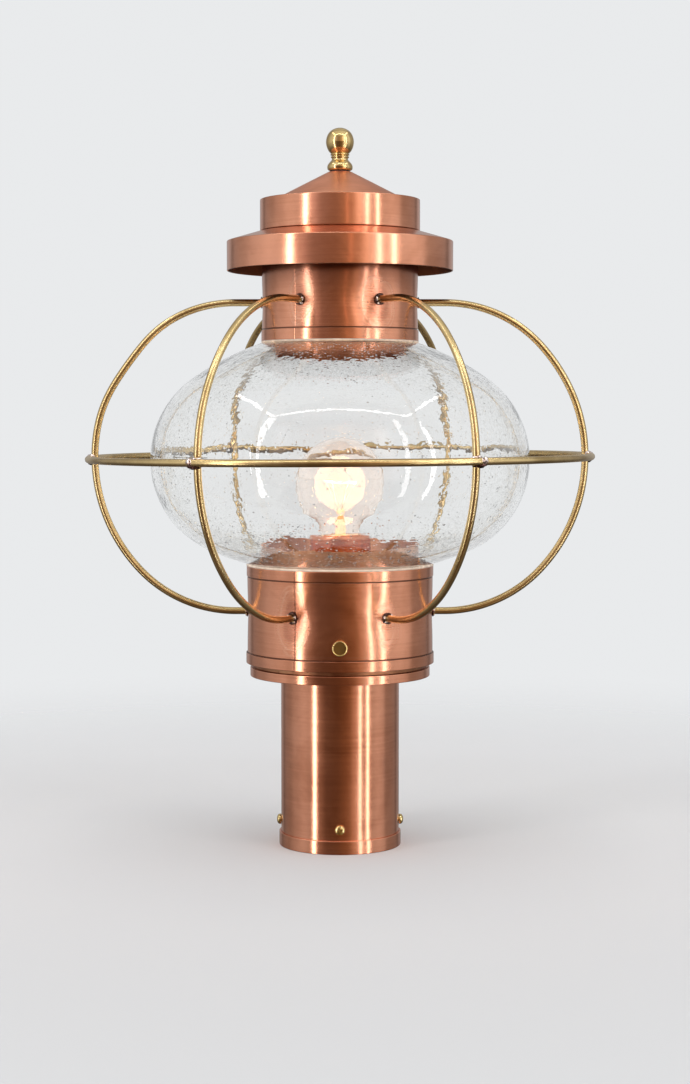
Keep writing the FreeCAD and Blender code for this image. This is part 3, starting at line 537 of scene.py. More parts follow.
class Spot:
    """Where a shaded point is: its place, and its distance and azimuth in degrees about the upright axis."""

    def __init__(self, g: Graph) -> None:
        """Read the place."""
        self.place = g.place()
        self.x, self.y, self.z = g.split(self.place)
        self.radius = g.reach(self.x, self.y)
        self.azimuth = g.math("ARCTAN2", self.y, self.x) * DEGREES


@dataclass
class Look:
    """A metal as its layers build it up: its colour, its roughness and its surface direction."""

    colour: Value
    rough: Value
    bent: Value


@dataclass(frozen=True)
class SpunCopper:
    """Copper sheet, brushed round the lantern's axis and lacquered. Its inside was left dull.

    A seam is a thin dull upright line at its azimuth, and a shadow groove a dark level line at its height: painted
    shadow along a band's edge, over a real groove in the sheet. rib_ends holds the height of the ribs' ends and the
    wall's radius there, and hood_shade the heights from which and by which the sheet darkens upward as painted shade
    under the hood. An edge is a pair of values between which a mark fades in. Each layer's method takes the graph,
    the spot and the look as the layers before it left it.
    """

    name: str = "copper_brushed"
    bright: Colour = (0.83, 0.372, 0.228)
    dull: Colour = (0.66, 0.268, 0.150)
    roughness: float = 0.205
    coat: float = 0.45
    brush_pitch: float = 1100.0
    brush_depth: float = 0.00002
    clouds: tuple[float, ...] = (24.0, 4.0, 0.6, 0.6)
    bloom: tuple[float, ...] = (15.0, 3.0, 0.6, 1.2)
    speck_scale: float = 520.0
    seams: tuple[float, ...] = ()
    seam_depth: float = 0.55
    seam_edge: tuple[float, float] = (0.55, 0.15)
    shadow_grooves: tuple[float, ...] = ()
    shadow_groove_edge: tuple[float, float] = (0.62 * MM, 0.30 * MM)
    rib_ends: tuple[float, float] | None = None
    swirl_squash: float = 0.56
    swirl_wander: float = 22.0 * MM
    swirl_edge: tuple[float, float] = (12.5 * MM, 9.0 * MM)
    swirl_pitch: float = 800.0
    scorch_edge: tuple[float, float] = (5.5 * MM, 2.0 * MM)
    # heights over which the sheet darkens upward as painted shade under the hood
    hood_shade: tuple[float, float] | None = None
    heat_tone: Colour = (0.58, 0.29, 0.215)
    inside_tone: Colour = (0.30, 0.115, 0.055)
    speck_tone: Colour = (0.40, 0.14, 0.08)
    # colour of the painted highlight arcs round the ribs' ends
    swirl_highlight_tone: Colour = (0.98, 0.60, 0.43)
    scorch_tone: Colour = (0.36, 0.12, 0.075)
    # colour of the painted shade under the hood
    hood_shade_tone: Colour = (0.20, 0.060, 0.030)
    seam_tone: Colour = (0.25, 0.075, 0.035)
    # colour of the painted shadow along each groove
    shadow_groove_tone: Colour = (0.085, 0.024, 0.012)

    def brushed(self, g: Graph, at: Spot) -> Look:
        """The brushed sheet. Streaks run round the axis, because their pattern is stretched across x and y and fine
        along height less radius."""
        streaks, wide = (
            g.noise(g.join(at.x * stretch, at.y * stretch, (at.z - at.radius) * pitch), 1.0, detail, rough)
            for stretch, pitch, detail, rough in ((16.0, self.brush_pitch, 4.0, 0.62),
                                                  (10.0, self.brush_pitch / 10.0, 3.0, 0.55)))
        clouds = g.noise(at.place, *self.clouds)
        specks = g.between(g.noise(at.place, self.speck_scale), 0.68, 0.76)
        bloom = g.between(g.noise(at.place, *self.bloom), 0.56, 0.74)
        colour = g.blend(g.between(clouds * 0.72 + streaks * 0.28, 0.34, 0.62), self.dull, self.bright)
        colour = g.blend(bloom * 0.35, colour, self.heat_tone)
        colour = g.blend(specks * 0.14, colour, self.speck_tone)
        rough = streaks * 0.10 + (self.roughness - 0.05) + (clouds - 0.5) * 0.16
        bent = g.bump(clouds, 0.10, 0.0010)
        bent = g.bump(wide, 0.12, self.brush_depth * 4.0, bent)
        return Look(colour, rough, g.bump(streaks, 0.22, self.brush_depth, bent))

    def add_swirls(self, g: Graph, at: Spot, look: Look) -> None:
        """Round each rib's end an oval was brushed in circles after soldering. There the distance from the end, with
        heights squashed, carries the streaks, and the metal is a little rougher; pale arcs in the oval are a painted
        highlight, for the widened reflections there. Next to the end the heat left a scorch."""
        height, wall_radius = self.rib_ends
        share = 360.0 / RIBS
        side = g.math("FLOORED_MODULO", at.azimuth + share / 2, share) - share / 2
        distance = g.reach(side * (wall_radius / DEGREES), (at.z - height) * self.swirl_squash)
        distance = distance + (g.noise(at.place, 30.0, 1.0, 0.4) - 0.5) * self.swirl_wander
        oval = g.between(distance, *self.swirl_edge)
        circles = g.noise(g.join(distance * self.swirl_pitch, at.azimuth * 0.10, 0.0), 1.0, 4.0, 0.7)
        arcs = g.between(circles, 0.44, 0.68) * g.between(distance, 0.0030, 0.0080) * oval
        look.rough = look.rough + oval * 0.070
        look.bent = g.bump(circles * oval, 0.8, self.brush_depth * 2.0, look.bent)
        # painted highlight: pale arcs in the oval
        look.colour = g.blend(arcs * 0.38, look.colour, self.swirl_highlight_tone)
        look.colour = g.blend(g.between(distance, *self.scorch_edge) * 0.45, look.colour, self.scorch_tone)

    def add_marks(self, g: Graph, at: Spot, look: Look) -> None:
        """The painted shade under the hood, the seams, and the grooves with painted shadow along them."""
        if self.hood_shade:
            # painted shade: the collar darkens towards its top, where the hood's overhang shades it
            look.colour = g.blend(g.between(at.z, *self.hood_shade) * 0.62, look.colour, self.hood_shade_tone)
        if self.seams:
            seam = g.most(*(g.between(abs(at.azimuth - azimuth), *self.seam_edge) for azimuth in self.seams))
            look.colour = g.blend(seam * self.seam_depth, look.colour, self.seam_tone)
            look.bent = g.bump(seam, self.seam_depth * 0.9, -0.0003, look.bent)
        if self.shadow_grooves:
            # painted shadow: a dark line along each groove, where a band's edge shades the sheet
            wavy = at.z + (g.noise(at.place, 90.0) - 0.5) * 0.0007
            groove = g.most(*(g.between(abs(wavy - height), *self.shadow_groove_edge) for height in self.shadow_grooves))
            look.colour = g.blend(groove * 0.8, look.colour, self.shadow_groove_tone)
            look.rough = look.rough + groove * 0.2

    def dull_inside(self, g: Graph, at: Spot, look: Look) -> None:
        """The faces that look at the axis or straight down, which were never polished."""
        nx, ny, nz = g.split(g.value("TexCoord", output="Normal"))
        inward = (nx * at.x + ny * at.y) / at.radius
        dulled = g.most(g.between(inward, -0.35, -0.75), g.between(nz, -0.75, -0.93))
        look.colour = g.blend(dulled, look.colour, self.inside_tone)
        look.rough = look.rough + dulled * 0.18

    def material(self) -> bpy.types.Material:
        """Build the finish in its layers."""
        material, g = new_material(self.name)
        at = Spot(g)
        look = self.brushed(g, at)
        if self.rib_ends:
            self.add_swirls(g, at, look)
        self.add_marks(g, at, look)
        self.dull_inside(g, at, look)
        round_axis = g.value("Tangent", direction_type="RADIAL", axis="Z")
        g.output(g.principled(Base_Color=look.colour, Metallic=1.0, Roughness=look.rough, Normal=look.bent,
                              Anisotropic=0.5, Anisotropic_Rotation=0.25, Tangent=round_axis,
                              Specular_Tint=(1.0, 0.93, 0.88), Coat_Weight=self.coat, Coat_Roughness=0.14,
                              Coat_IOR=1.5))
        return material


@dataclass(frozen=True)
class Mottled:
    """A finish of two tones in clouds, which also sway its roughness and give it a faint relief.

    clouds holds the noise's scale, detail, roughness and distortion, edges the noise values at which the dull tone
    ends and the bright one starts, and relief the strength and depth of the bump. Without a dull tone of its own it
    is the bright one times shade.
    """

    name: str
    bright: Colour
    dull: Colour | None = None
    roughness: float = 0.3
    metallic: float = 0.0
    shade: float = 0.8
    clouds: tuple[float, ...] = (160.0, 3.0, 0.55)
    edges: tuple[float, float] = (0.3, 0.7)
    sway: float = 0.1
    relief: tuple[float, float] | None = (0.1, 0.0002)

    def inputs(self, g: Graph) -> dict[str, object]:
        """The main shader's inputs."""
        clouds = g.noise(g.place(), *self.clouds)
        dull = self.dull or tuple(self.shade * part for part in self.bright)
        given = {"Base_Color": g.blend(g.between(clouds, *self.edges), dull, self.bright), "Metallic": self.metallic,
                 "Roughness": self.roughness}
        if self.sway:
            given["Roughness"] = clouds * self.sway + (self.roughness - self.sway / 2)
        if self.relief:
            given["Normal"] = g.bump(clouds, *self.relief)
        return given

    def material(self) -> bpy.types.Material:
        """Build the finish."""
        material, g = new_material(self.name)
        g.output(g.principled(**self.inputs(g)))
        return material


@dataclass(frozen=True)
class AgedCopper(Mottled):
    """Copper sheet that was never polished, dull from heat, with small dark spots."""

    name: str = "copper_aged_and_shade"
    bright: Colour = (0.50, 0.25, 0.135)
    dull: Colour = (0.30, 0.125, 0.065)
    roughness: float = 0.36
    metallic: float = 1.0
    clouds: tuple[float, ...] = (46.0, 4.0, 0.62, 0.5)
    edges: tuple[float, float] = (0.36, 0.64)
    sway: float = 0.2
    relief: tuple[float, float] = (0.15, 0.0006)
    spot_tone: Colour = (0.16, 0.06, 0.035)

    def inputs(self, g: Graph) -> dict[str, object]:
        """The clouds with the spots on them."""
        given = super().inputs(g)
        spots = g.between(g.noise(g.place(), 300.0, 3.0, 0.55), 0.58, 0.72)
        return given | {"Base_Color": g.blend(spots * 0.5, given["Base_Color"], self.spot_tone)}


@dataclass(frozen=True)
class SatinBrass(Mottled):
    """Drawn or turned brass with a satin polish."""

    name: str = "brass_satin"
    bright: Colour = (0.73, 0.565, 0.29)
    dull: Colour = (0.58, 0.43, 0.20)
    roughness: float = 0.25
    metallic: float = 1.0
    clouds: tuple[float, ...] = (42.0, 4.0, 0.6)
    edges: tuple[float, float] = (0.35, 0.66)
    sway: float = 0.08
    relief: tuple[float, float] = (0.015, 0.0003)


@dataclass(frozen=True)
class BrightSolder(Mottled):
    """Bright solder with dull pits, or the burnt flux beside it, which round the ribs' ends is painted shade."""

    name: str = "solder_bright"
    bright: Colour = (0.90, 0.80, 0.77)
    dull: Colour = (0.36, 0.24, 0.20)
    roughness: float = 0.16
    metallic: float = 1.0
    clouds: tuple[float, ...] = (380.0, 3.0, 0.6)
    edges: tuple[float, float] = (0.32, 0.46)
    sway: float = 0.0
    relief: tuple[float, float] = (0.35, 0.0003)


@dataclass(frozen=True)
class SatinNickel(Mottled):
    """Nickelled metal."""

    name: str = "nickel_satin"
    bright: Colour = (0.66, 0.63, 0.58)
    metallic: float = 1.0
    shade: float = 0.85
    clouds: tuple[float, ...] = (220.0, 3.0, 0.55)
    sway: float = 0.12


@dataclass(frozen=True)
class HotWire(Mottled):
    """Glowing filament wire: a steady glow on a dark wire."""

    name: str = "filament_hot"
    bright: Colour = (0.16, 0.14, 0.12)
    dull: Colour = (0.10, 0.09, 0.08)
    roughness: float = 0.5
    clouds: tuple[float, ...] = (300.0, 2.0, 0.5)
    sway: float = 0.0
    relief: None = None
    glow: Colour = (1.0, 0.70, 0.30)
    strength: float = 6.0

    def inputs(self, g: Graph) -> dict[str, object]:
        """The wire with its glow."""
        return super().inputs(g) | {"Emission_Color": self.glow, "Emission_Strength": self.strength}


@dataclass(frozen=True)
class SeededGlass:
    """Hand-blown clear glass, faintly green, wavy near its necks and full of fine seeds."""

    name: str = "glass_seeded"
    tint: Colour = (0.988, 0.989, 0.984)
    edge_tint_and_shade: Colour = (0.950, 0.952, 0.940)
    foot_tint: Colour = (0.975, 0.962, 0.930)
    vein_shade_tint: Colour = (0.62, 0.62, 0.58)
    shadow_tint: Colour = (0.97, 0.975, 0.97)
    ripple: float = 0.0005
    ior: float = 1.5
    seed_scale: float = 560.0
    calm: tuple[float, float] = (0.214, 0.317)

    def bent(self, g: Graph, place: Value, busy: Value) -> Value:
        """Slow waves, and finer ripples and dimples that grow with busy. A dimple is round about a random point,
        and only some points have one."""
        broad, middle, fine = (g.noise(place, *noise) for noise in ((22.0, 1.0, 0.4), (150.0, 1.0), (300.0, 0.6)))
        cells = g.node("TexVoronoi", {"Vector": place, "Scale": self.seed_scale}, voronoi_dimensions="3D").outputs
        luck = g.split(Value(g, cells["Color"]))[0] + busy * 0.2
        dimple = g.between(Value(g, cells["Distance"]), 0.45, 0.05) * g.math("GREATER_THAN", luck, 0.90)
        bent = g.bump(broad, 0.10, self.ripple * 3.0)
        bent = g.bump(middle, 0.05, self.ripple, bent)
        bent = g.bump(fine * (busy * 0.6 + 0.35), 0.30, self.ripple * 0.4, bent)
        return g.bump(dimple, 0.5, self.ripple * 0.4, bent)

    def material(self) -> bpy.types.Material:
        """Build the finish: clear glass with a grey tint at a slant, partly for the longer path through it and partly
        painted shade, a warm one at its foot, and fine dark veins of painted shade in between, all bent towards the
        necks so that what shows through is broken up."""
        material, g = new_material(self.name)
        place = g.place()
        height = g.split(place)[2]
        low, high = self.calm
        foot = g.between(height, low, low - 0.030)
        bent = self.bent(g, place, g.most(foot, g.between(height, high, high + 0.026)))
        slant = g.value("LayerWeight", {"Blend": 0.5}, output="Facing")
        # darker at a slant: partly the longer path through the glass, partly painted shade for the dark surroundings
        # seen there
        tint = g.blend(g.between(slant, 0.45, 0.72), self.tint, self.edge_tint_and_shade)
        tint = g.blend(foot, tint, self.foot_tint)
        # painted shade: dark veins where the glass is seen at a slant, for the broken-up refraction of the
        # surroundings
        veins = g.between(abs(g.noise(place, 380.0, 1.0) - 0.5), 0.06, 0.0)
        slanting = g.between(slant, 0.28, 0.52, 0.10, 1.0) * g.between(slant, 0.80, 0.66)
        tint = g.blend(veins * slanting * 0.55, tint, self.vein_shade_tint)
        glass = g.principled(Base_Color=tint, Roughness=0.0, IOR=self.ior, Transmission_Weight=1.0, Normal=bent)
        g.output(g.clear_to_lamps(glass, self.shadow_tint))
        return material


@dataclass(frozen=True)
class ClearGlass:
    """Plain clear glass, or the air of a bubble in glass, whose index is that of air over glass. Glass close to the
    hot wire may be given a faint painted glow, which stands in for the wire's light on it."""

    name: str
    tint: Colour
    ior: float = 1.5
    glow: Colour | None = None
    strength: float = 0.0
    shadow_tint: Colour = (0.98, 0.98, 0.98)

    def material(self) -> bpy.types.Material:
        """Build the finish: clear, with a very faint unevenness, and streaks in its painted glow."""
        material, g = new_material(self.name)
        place = g.place()
        inputs = {"Base_Color": self.tint, "Roughness": 0.0, "IOR": self.ior, "Transmission_Weight": 1.0,
                  "Normal": g.bump(g.noise(place, 45.0, 1.0, 0.4), 0.1, 0.0005)}
        # painted light: the glass glows though it is no lamp
        if self.glow:
            streaks = g.between(g.noise(place, 240.0, 3.0, 0.6), 0.30, 0.70)
            faint = tuple(0.55 * part for part in self.glow)
            inputs |= {"Emission_Color": g.blend(streaks, faint, self.glow), "Emission_Strength": self.strength}
        g.output(g.clear_to_lamps(g.principled(**inputs), self.shadow_tint))
        return material


SLOT_FINISHES = {
    Slot.COPPER: SpunCopper(),
    Slot.BRASS: SatinBrass(),
    Slot.SOLDER: BrightSolder(),
    Slot.SEEDED_GLASS: SeededGlass(),
    # painted light: the bulb's glass glows faintly, as a halo round the hot wire
    Slot.BULB_GLASS: ClearGlass("glass_bulb", (0.988, 0.970, 0.955), glow=(1.0, 0.66, 0.44), strength=0.055),
    Slot.FILAMENT: HotWire(),
    Slot.NICKEL: SatinNickel(),
    Slot.BLACK_GLASS: Mottled("glass_black", (0.02, 0.02, 0.025), roughness=0.17),
    Slot.PORCELAIN: Mottled("porcelain_glazed", (0.82, 0.80, 0.74), roughness=0.20),
    Slot.PLASTIC: Mottled("plastic_matt", (0.03, 0.03, 0.03), roughness=0.55),
    Slot.RUBBER: Mottled("rubber_seal", (0.02, 0.02, 0.02), roughness=0.65),
}


class Extra(Enum):
    """The finishes besides the slots' own."""

    # painted highlight: the pale colour of the rings at the glass's edges
    HIGHLIGHT_EDGE = Mottled("glass_edge_highlight", (0.86, 0.70, 0.57), roughness=0.27)
    SEED_AIR = ClearGlass("glass_seed_air", (1.0, 1.0, 1.0), 1.0 / 1.5)
    # painted light: the stem glows orange, as if lit by the hot wire
    LIT_STEM = ClearGlass("glass_stem_lit", (0.99, 0.90, 0.78), glow=(1.0, 0.46, 0.13), strength=0.46)
    # painted shade on the dark rings round the ribs' ends; burnt flux on the lumps at the crossings
    BURNT_FLUX_AND_SHADE = BrightSolder("flux_burnt_and_shade", (0.085, 0.045, 0.038), (0.03, 0.016, 0.014), 0.22)
    # also painted shade where it darkens the cup in the gap under the pan's rim
    AGED_COPPER_AND_SHADE = AgedCopper()
    SEAT_COPPER = AgedCopper("copper_seat", (0.76, 0.43, 0.27), (0.48, 0.235, 0.14), 0.40)
    # painted shade: a darker copy of the seat copper for the upper seat inside the collar
    SHADED_NECK_COPPER = AgedCopper("copper_neck_shaded", (0.58, 0.25, 0.13), (0.34, 0.115, 0.055), 0.34)
    COVER_COPPER = SpunCopper("copper_cover", (0.82, 0.31, 0.165), (0.62, 0.205, 0.10), 0.19)
    # the shadow grooves paint shadow along the drum's bands
    DRUM_COPPER = SpunCopper("copper_drum", seams=(-118.0, -22.0), shadow_grooves=(0.18128, 0.13058),
                             rib_ends=(0.1576, 0.0622))
    # hood_shade darkens the collar's top as painted shade under the hood
    COLLAR_COPPER = SpunCopper("copper_collar", seams=(-123.5,), seam_depth=0.22, shadow_grooves=(0.3455,),
                               rib_ends=(0.3636, 0.0520), hood_shade=(0.362, 0.386))
    CONE_COPPER = SpunCopper("copper_cone", roughness=0.40, coat=0.05)
    BRIGHT_BRASS = SatinBrass("brass_bright", (0.80, 0.63, 0.31), (0.66, 0.50, 0.22), 0.19)
    TURNED_BRASS = SatinBrass("brass_turned", (0.74, 0.56, 0.27), (0.60, 0.44, 0.19), 0.16)


NODE_FINISHES = {"globe_seat_upper": Extra.SHADED_NECK_COPPER, "globe_seat_lower": Extra.SEAT_COPPER} | dict.fromkeys(
    ("drum_guide_ring", "drum_shelf", "vent_tube", "cap_bridge", "socket_plate"), Extra.AGED_COPPER_AND_SHADE)


class Workshop:
    """Dresses the carried-over nodes and turns surfaces into pieces of the lantern."""

    def __init__(self) -> None:
        """Build every material once, by its slot or its extra finish."""
        finishes = SLOT_FINISHES | {extra: extra.value for extra in Extra}
        self.materials = {key: finish.material() for key, finish in finishes.items()}

    def dress_frame(self) -> None:
        """Give every carried-over node the finish of its slot in the record, and some nodes their own."""
        for subpart in frame["record"]["subparts"]:
            name = subpart["node"]
            material = self.materials[NODE_FINISHES.get(name, Slot(subpart["material_slot"]))]
            mesh = frame["nodes"][name].data
            mesh.materials.clear()
            mesh.materials.append(material)
            LOG.info("node %s wears %s", name, material.name)

    def piece(self, name: str, surface: Surface, body: Body | str, slot: Slot, nodes: tuple[str, ...] = (),
              finish: Extra | None = None, smooth_angle: float = 40.0) -> None:
        """Make one piece, dress it and let it ride on its body.

        Args:
            name: the piece's name.
            surface: its points and faces.
            body: the body that it moves with.
            slot: the record's slot that its finish comes from.
            nodes: carried-over nodes that it stands for.
            finish: another finish than the slot's own.
            smooth_angle: edges sharper than this, in degrees, stay crisp.
        """
        mesh = surface.mesh(name, self.materials[finish or slot])
        mesh.polygons.foreach_set("use_smooth", np.ones(len(mesh.polygons), dtype=bool))
        mesh.set_sharp_from_angle(angle=math.radians(smooth_angle))
        piece = added(name, mesh)
        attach(piece, body.value if isinstance(body, Body) else body)
        if nodes:
            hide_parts(*nodes)
        LOG.info("piece %s: %d faces, stands for %s", name, len(mesh.polygons), ", ".join(nodes) or "nothing")


def added(name: str, data: bpy.types.ID, place: Triple = (0.0, 0.0, 0.0)) -> bpy.types.Object:
    """A new object at a place in the scene."""
    thing = bpy.data.objects.new(name, data)
    thing.location = place
    bpy.context.collection.objects.link(thing)
    return thing


# Sub-assemblies --------------------------------------------------------------------------------------


@dataclass(frozen=True)
class SheetPiece:
    """A turned piece of copper sheet.

    section holds its (radius, height) corners and edge the radius of each corner, and sway its slow waves' height,
    length and seed, all in millimetres.
    """

    name: str
    node: str
    body: Body
    section: Pairs
    edge: float | tuple[float, ...]
    sway: tuple[float, float, int]
    finish: Extra | None = None
    dents: tuple[Dent, ...] = ()

    def build(self, shop: Workshop) -> None:
        """Turn the rounded section about the axis, dent it and make the piece."""
        outline = spaced(rounded_outline(np.array(self.section) * MM, np.array(self.edge) * MM), SHEET_PITCH)
        surface = dented(lathe(outline, 256), self.dents, self.sway)
        shop.piece(self.name, surface, self.body, Slot.COPPER, (self.node,), self.finish, 50.0)


@dataclass
class SheetWork:
    """An assembly of sheet pieces."""

    sheets: tuple[SheetPiece, ...] = ()

    def build(self, shop: Workshop) -> None:
        """Make the sheet pieces."""
        for sheet in self.sheets:
            sheet.build(shop)


@dataclass
class Foot(SheetWork):
    """The fitter tube, the band round its foot, the pan and cup on top of it, and the socket's cover."""

    sheets: tuple[SheetPiece, ...] = (
        SheetPiece("fitter_tube", "post_tube", Body.BASE,
                   ((38.55, 0.0), (39.7, 0.0), (39.7, 119.65), (38.55, 119.65)), 0.3, (0.02, 80.0, 3)),
        SheetPiece("fitter_band", "foot_band", Body.BASE,
                   ((39.82, 0.0), (41.0, 0.0), (41.0, 9.0), (39.82, 9.0)), 0.35, (0.02, 60.0, 4)),
        SheetPiece("pan_sheet", "base_pan", Body.BASE,
                   ((5.2, 119.7), (59.5, 119.7), (59.5, 114.5), (60.3, 114.5), (60.3, 120.5), (5.2, 120.5)),
                   0.6, (0.05, 50.0, 5)),
        # The cup wears the dark aged copper as painted shade in the gap under the pan's rim.
        SheetPiece("cup_sheet", "base_cup", Body.BASE,
                   ((57.5, 120.55), (58.3, 120.55), (58.3, 152.8), (57.5, 152.8)), 0.3, (0.03, 60.0, 6),
                   Extra.AGED_COPPER_AND_SHADE),
        SheetPiece("socket_cover_sheet", "socket_cover", Body.BASE,
                   ((14.8, 207.6), (19.5, 207.6), (19.5, 155.0), (20.2, 155.0), (20.2, 208.3), (14.8, 208.3)),
                   (0.2, 1.8, 0.2, 0.2, 2.5, 0.3), (0.02, 30.0, 7), Extra.COVER_COPPER),
    )


@dataclass
class Drum(SheetWork):
    """The drum's sleeve with its bead and its upper band. Solder heat has pulled the sheet in round each rib."""

    sheets: tuple[SheetPiece, ...] = (
        SheetPiece("drum_wall", "drum_sleeve", Body.CAGE,
                   ((61.4, 123.3), (62.2, 123.3), (62.2, 130.2), (61.8, 130.3), (61.8, 130.85), (62.2, 131.0),
                    (62.2, 180.75), (61.7, 180.9), (61.7, 181.65), (62.2, 181.8), (62.2, 187.95), (61.4, 187.95)),
                   0.12, (0.05, 42.0, 8), Extra.DRUM_COPPER, Dent.all_round(157.6 * MM, (
                       (-120.0, 0.0, 0.34, 8.0), (-60.0, 0.0, 0.30, 9.0), (-104.0, -9.0, 0.20, 13.0),
                       (-112.0, 16.0, -0.14, 12.0), (-66.0, 15.0, 0.16, 12.0), (-72.0, -17.0, -0.12, 14.0),
                       (-49.0, -6.0, 0.18, 11.0), (-131.0, -4.0, 0.14, 12.0), (0.0, 0.0, 0.30, 9.0),
                       (60.0, 0.0, 0.30, 8.0), (120.0, 0.0, 0.34, 9.0), (180.0, 0.0, 0.30, 8.0)))),
        SheetPiece("drum_foot_bead", "drum_bead", Body.CAGE,
                   ((62.25, 123.3), (63.0, 123.3), (63.0, 130.2), (62.25, 130.2)), 0.4, (0.03, 42.0, 9),
                   Extra.DRUM_COPPER),
        SheetPiece("drum_rim_band", "drum_top_band", Body.CAGE,
                   ((62.25, 181.7), (62.62, 181.7), (62.62, 188.8), (60.1, 188.8), (60.1, 188.0), (62.25, 188.0)),
                   (0.1, 0.12, 1.05, 0.35, 0.35, 0.12), (0.03, 42.0, 10), Extra.DRUM_COPPER),
    )


@dataclass
class Hood(SheetWork):
    """The vented hood, and the cap with its cone."""

    sheets: tuple[SheetPiece, ...] = (
        SheetPiece("hood_sheet", "hood", Body.CAGE,
                   ((44.05, 412.4), (74.5, 403.3), (74.5, 384.5), (75.3, 384.5), (75.3, 403.95), (44.05, 413.2)),
                   0.55, (0.07, 60.0, 14)),
        SheetPiece("cap_skirt_sheet", "cap_skirt", Body.CAP,
                   ((41.9, 430.6), (52.4, 430.6), (52.4, 410.8), (53.2, 410.8), (53.2, 431.4), (41.9, 431.4)),
                   0.5, (0.04, 48.0, 15)),
        SheetPiece("cap_cone_sheet", "cap_cone", Body.CAP,
                   ((3.6, 449.2), (7.4, 449.2), (42.0, 431.45), (43.5, 431.45), (7.6, 450.0), (3.6, 450.0)),
                   0.4, (0.05, 30.0, 16), Extra.CONE_COPPER),
    )


@dataclass
class Collar:
    """The collar's sleeve with its row of vents, and its lower band."""

    outer: float = 52.0 * MM
    inner: float = 51.2 * MM
    bottom: float = 338.0 * MM
    top: float = 409.75 * MM
    ease: float = 0.2 * MM
    groove: Triple = (345.15 * MM, 345.85 * MM, 51.6 * MM)
    vent_height: float = 394.0 * MM
    vent_radius: float = 4.0 * MM
    vent_count: int = 12
    cell: float = 8.0 * MM
    per_cell: int = 24
    rings: int = 7
    dents: tuple[Dent, ...] = Dent.all_round(363.6 * MM, (
        (-120.0, 0.0, 0.30, 8.0), (-60.0, 0.0, 0.34, 9.0), (-72.0, -1.0, 0.34, 8.0), (-64.0, -14.0, -0.12, 11.0),
        (-113.0, 12.0, -0.10, 11.0), (-48.0, 8.0, 0.16, 11.0), (-132.0, -5.0, 0.14, 11.0),
        (0.0, 0.0, 0.30, 8.0), (60.0, 0.0, 0.30, 9.0), (120.0, 0.0, 0.30, 8.0), (180.0, 0.0, 0.30, 8.0)))
    band: SheetPiece = SheetPiece("collar_rim_band", "collar_band", Body.CAGE,
                                  ((52.05, 338.0), (52.4, 338.0), (52.4, 345.1), (52.05, 345.1)), 0.2,
                                  (0.02, 42.0, 13), Extra.COLLAR_COPPER)

    def drilled_skin(self, radius: float, outward: bool) -> Surface:
        """The band of a wall that holds the vents. Each vent's square cell is filled by rings that go from its
        circle to its square: point = (1 - s) circle + s square, rolled onto the wall's radius.

        Args:
            radius: the wall's radius.
            outward: whether the wall faces outward.

        Returns:
            The band, which starts with the circle's points of each cell.
        """
        n, half = self.per_cell, math.pi / self.vent_count * radius
        side, one = np.linspace(-1.0, 1.0, n, endpoint=False), np.ones(n)
        square = np.concatenate([np.stack(pair, axis=1) for pair in
                                 ((side, -one), (one, side), (-side, one), (-one, -side))]) * [half, self.cell]
        circle = square / np.linalg.norm(square, axis=1)[:, None] * self.vent_radius
        s = np.linspace(0.0, 1.0, self.rings)[:, None, None]
        flat = (1 - s) * circle + s * square
        faces = grid_faces(self.rings, 4 * n, False)[:, ::-1 if outward else 1]
        angles = [flat[..., 0] / radius + (index + 0.5) * TURN / self.vent_count for index in range(self.vent_count)]
        return Surface.joined([Surface(polar(radius, angle, flat[..., 1] + self.vent_height).reshape(-1, 3), faces)
                               for angle in angles])

    def sleeve(self) -> Surface:
        """The sleeve: a lower and an upper part with closed ends, the drilled skins between them and the vents'
        walls."""
        low, high = self.vent_height - self.cell, self.vent_height + self.cell
        start, end, depth = self.groove
        inner, outer, bottom, top, ease = self.inner, self.outer, self.bottom, self.top, self.ease
        lower = [[inner, low], [inner, bottom + ease], [inner + ease, bottom], [outer - ease, bottom],
                 [outer, bottom + ease], [outer, start - ease], [depth, start], [depth, end], [outer, end + ease],
                 [outer, low]]
        upper = [[outer, high], [outer, top - ease], [outer - ease, top], [inner + ease, top], [inner, top - ease],
                 [inner, high]]
        skins = [self.drilled_skin(outer, True), self.drilled_skin(inner, False)]
        ring = np.arange(4 * self.per_cell)
        step, across = np.roll(ring, -1), len(skins[0].points)
        vents = [first + np.stack([ring, step, step + across, ring + across], axis=1)
                 for first in np.arange(self.vent_count) * self.rings * 4 * self.per_cell]
        skin = Surface.joined(skins)
        skin = Surface(skin.points, np.concatenate([skin.faces] + vents))
        ends = [wall(spaced(np.array(run), SHEET_PITCH, closed=False), self.per_cell * self.vent_count)
                for run in (lower, upper)]
        return Surface.joined([*ends, skin]).welded()

    def build(self, shop: Workshop) -> None:
        """Make the sleeve and the band."""
        shop.piece("collar_wall", dented(self.sleeve(), self.dents, (0.04, 40.0, 12)), Body.CAGE, Slot.COPPER,
                   ("collar",), Extra.COLLAR_COPPER, 50.0)
        self.band.build(shop)


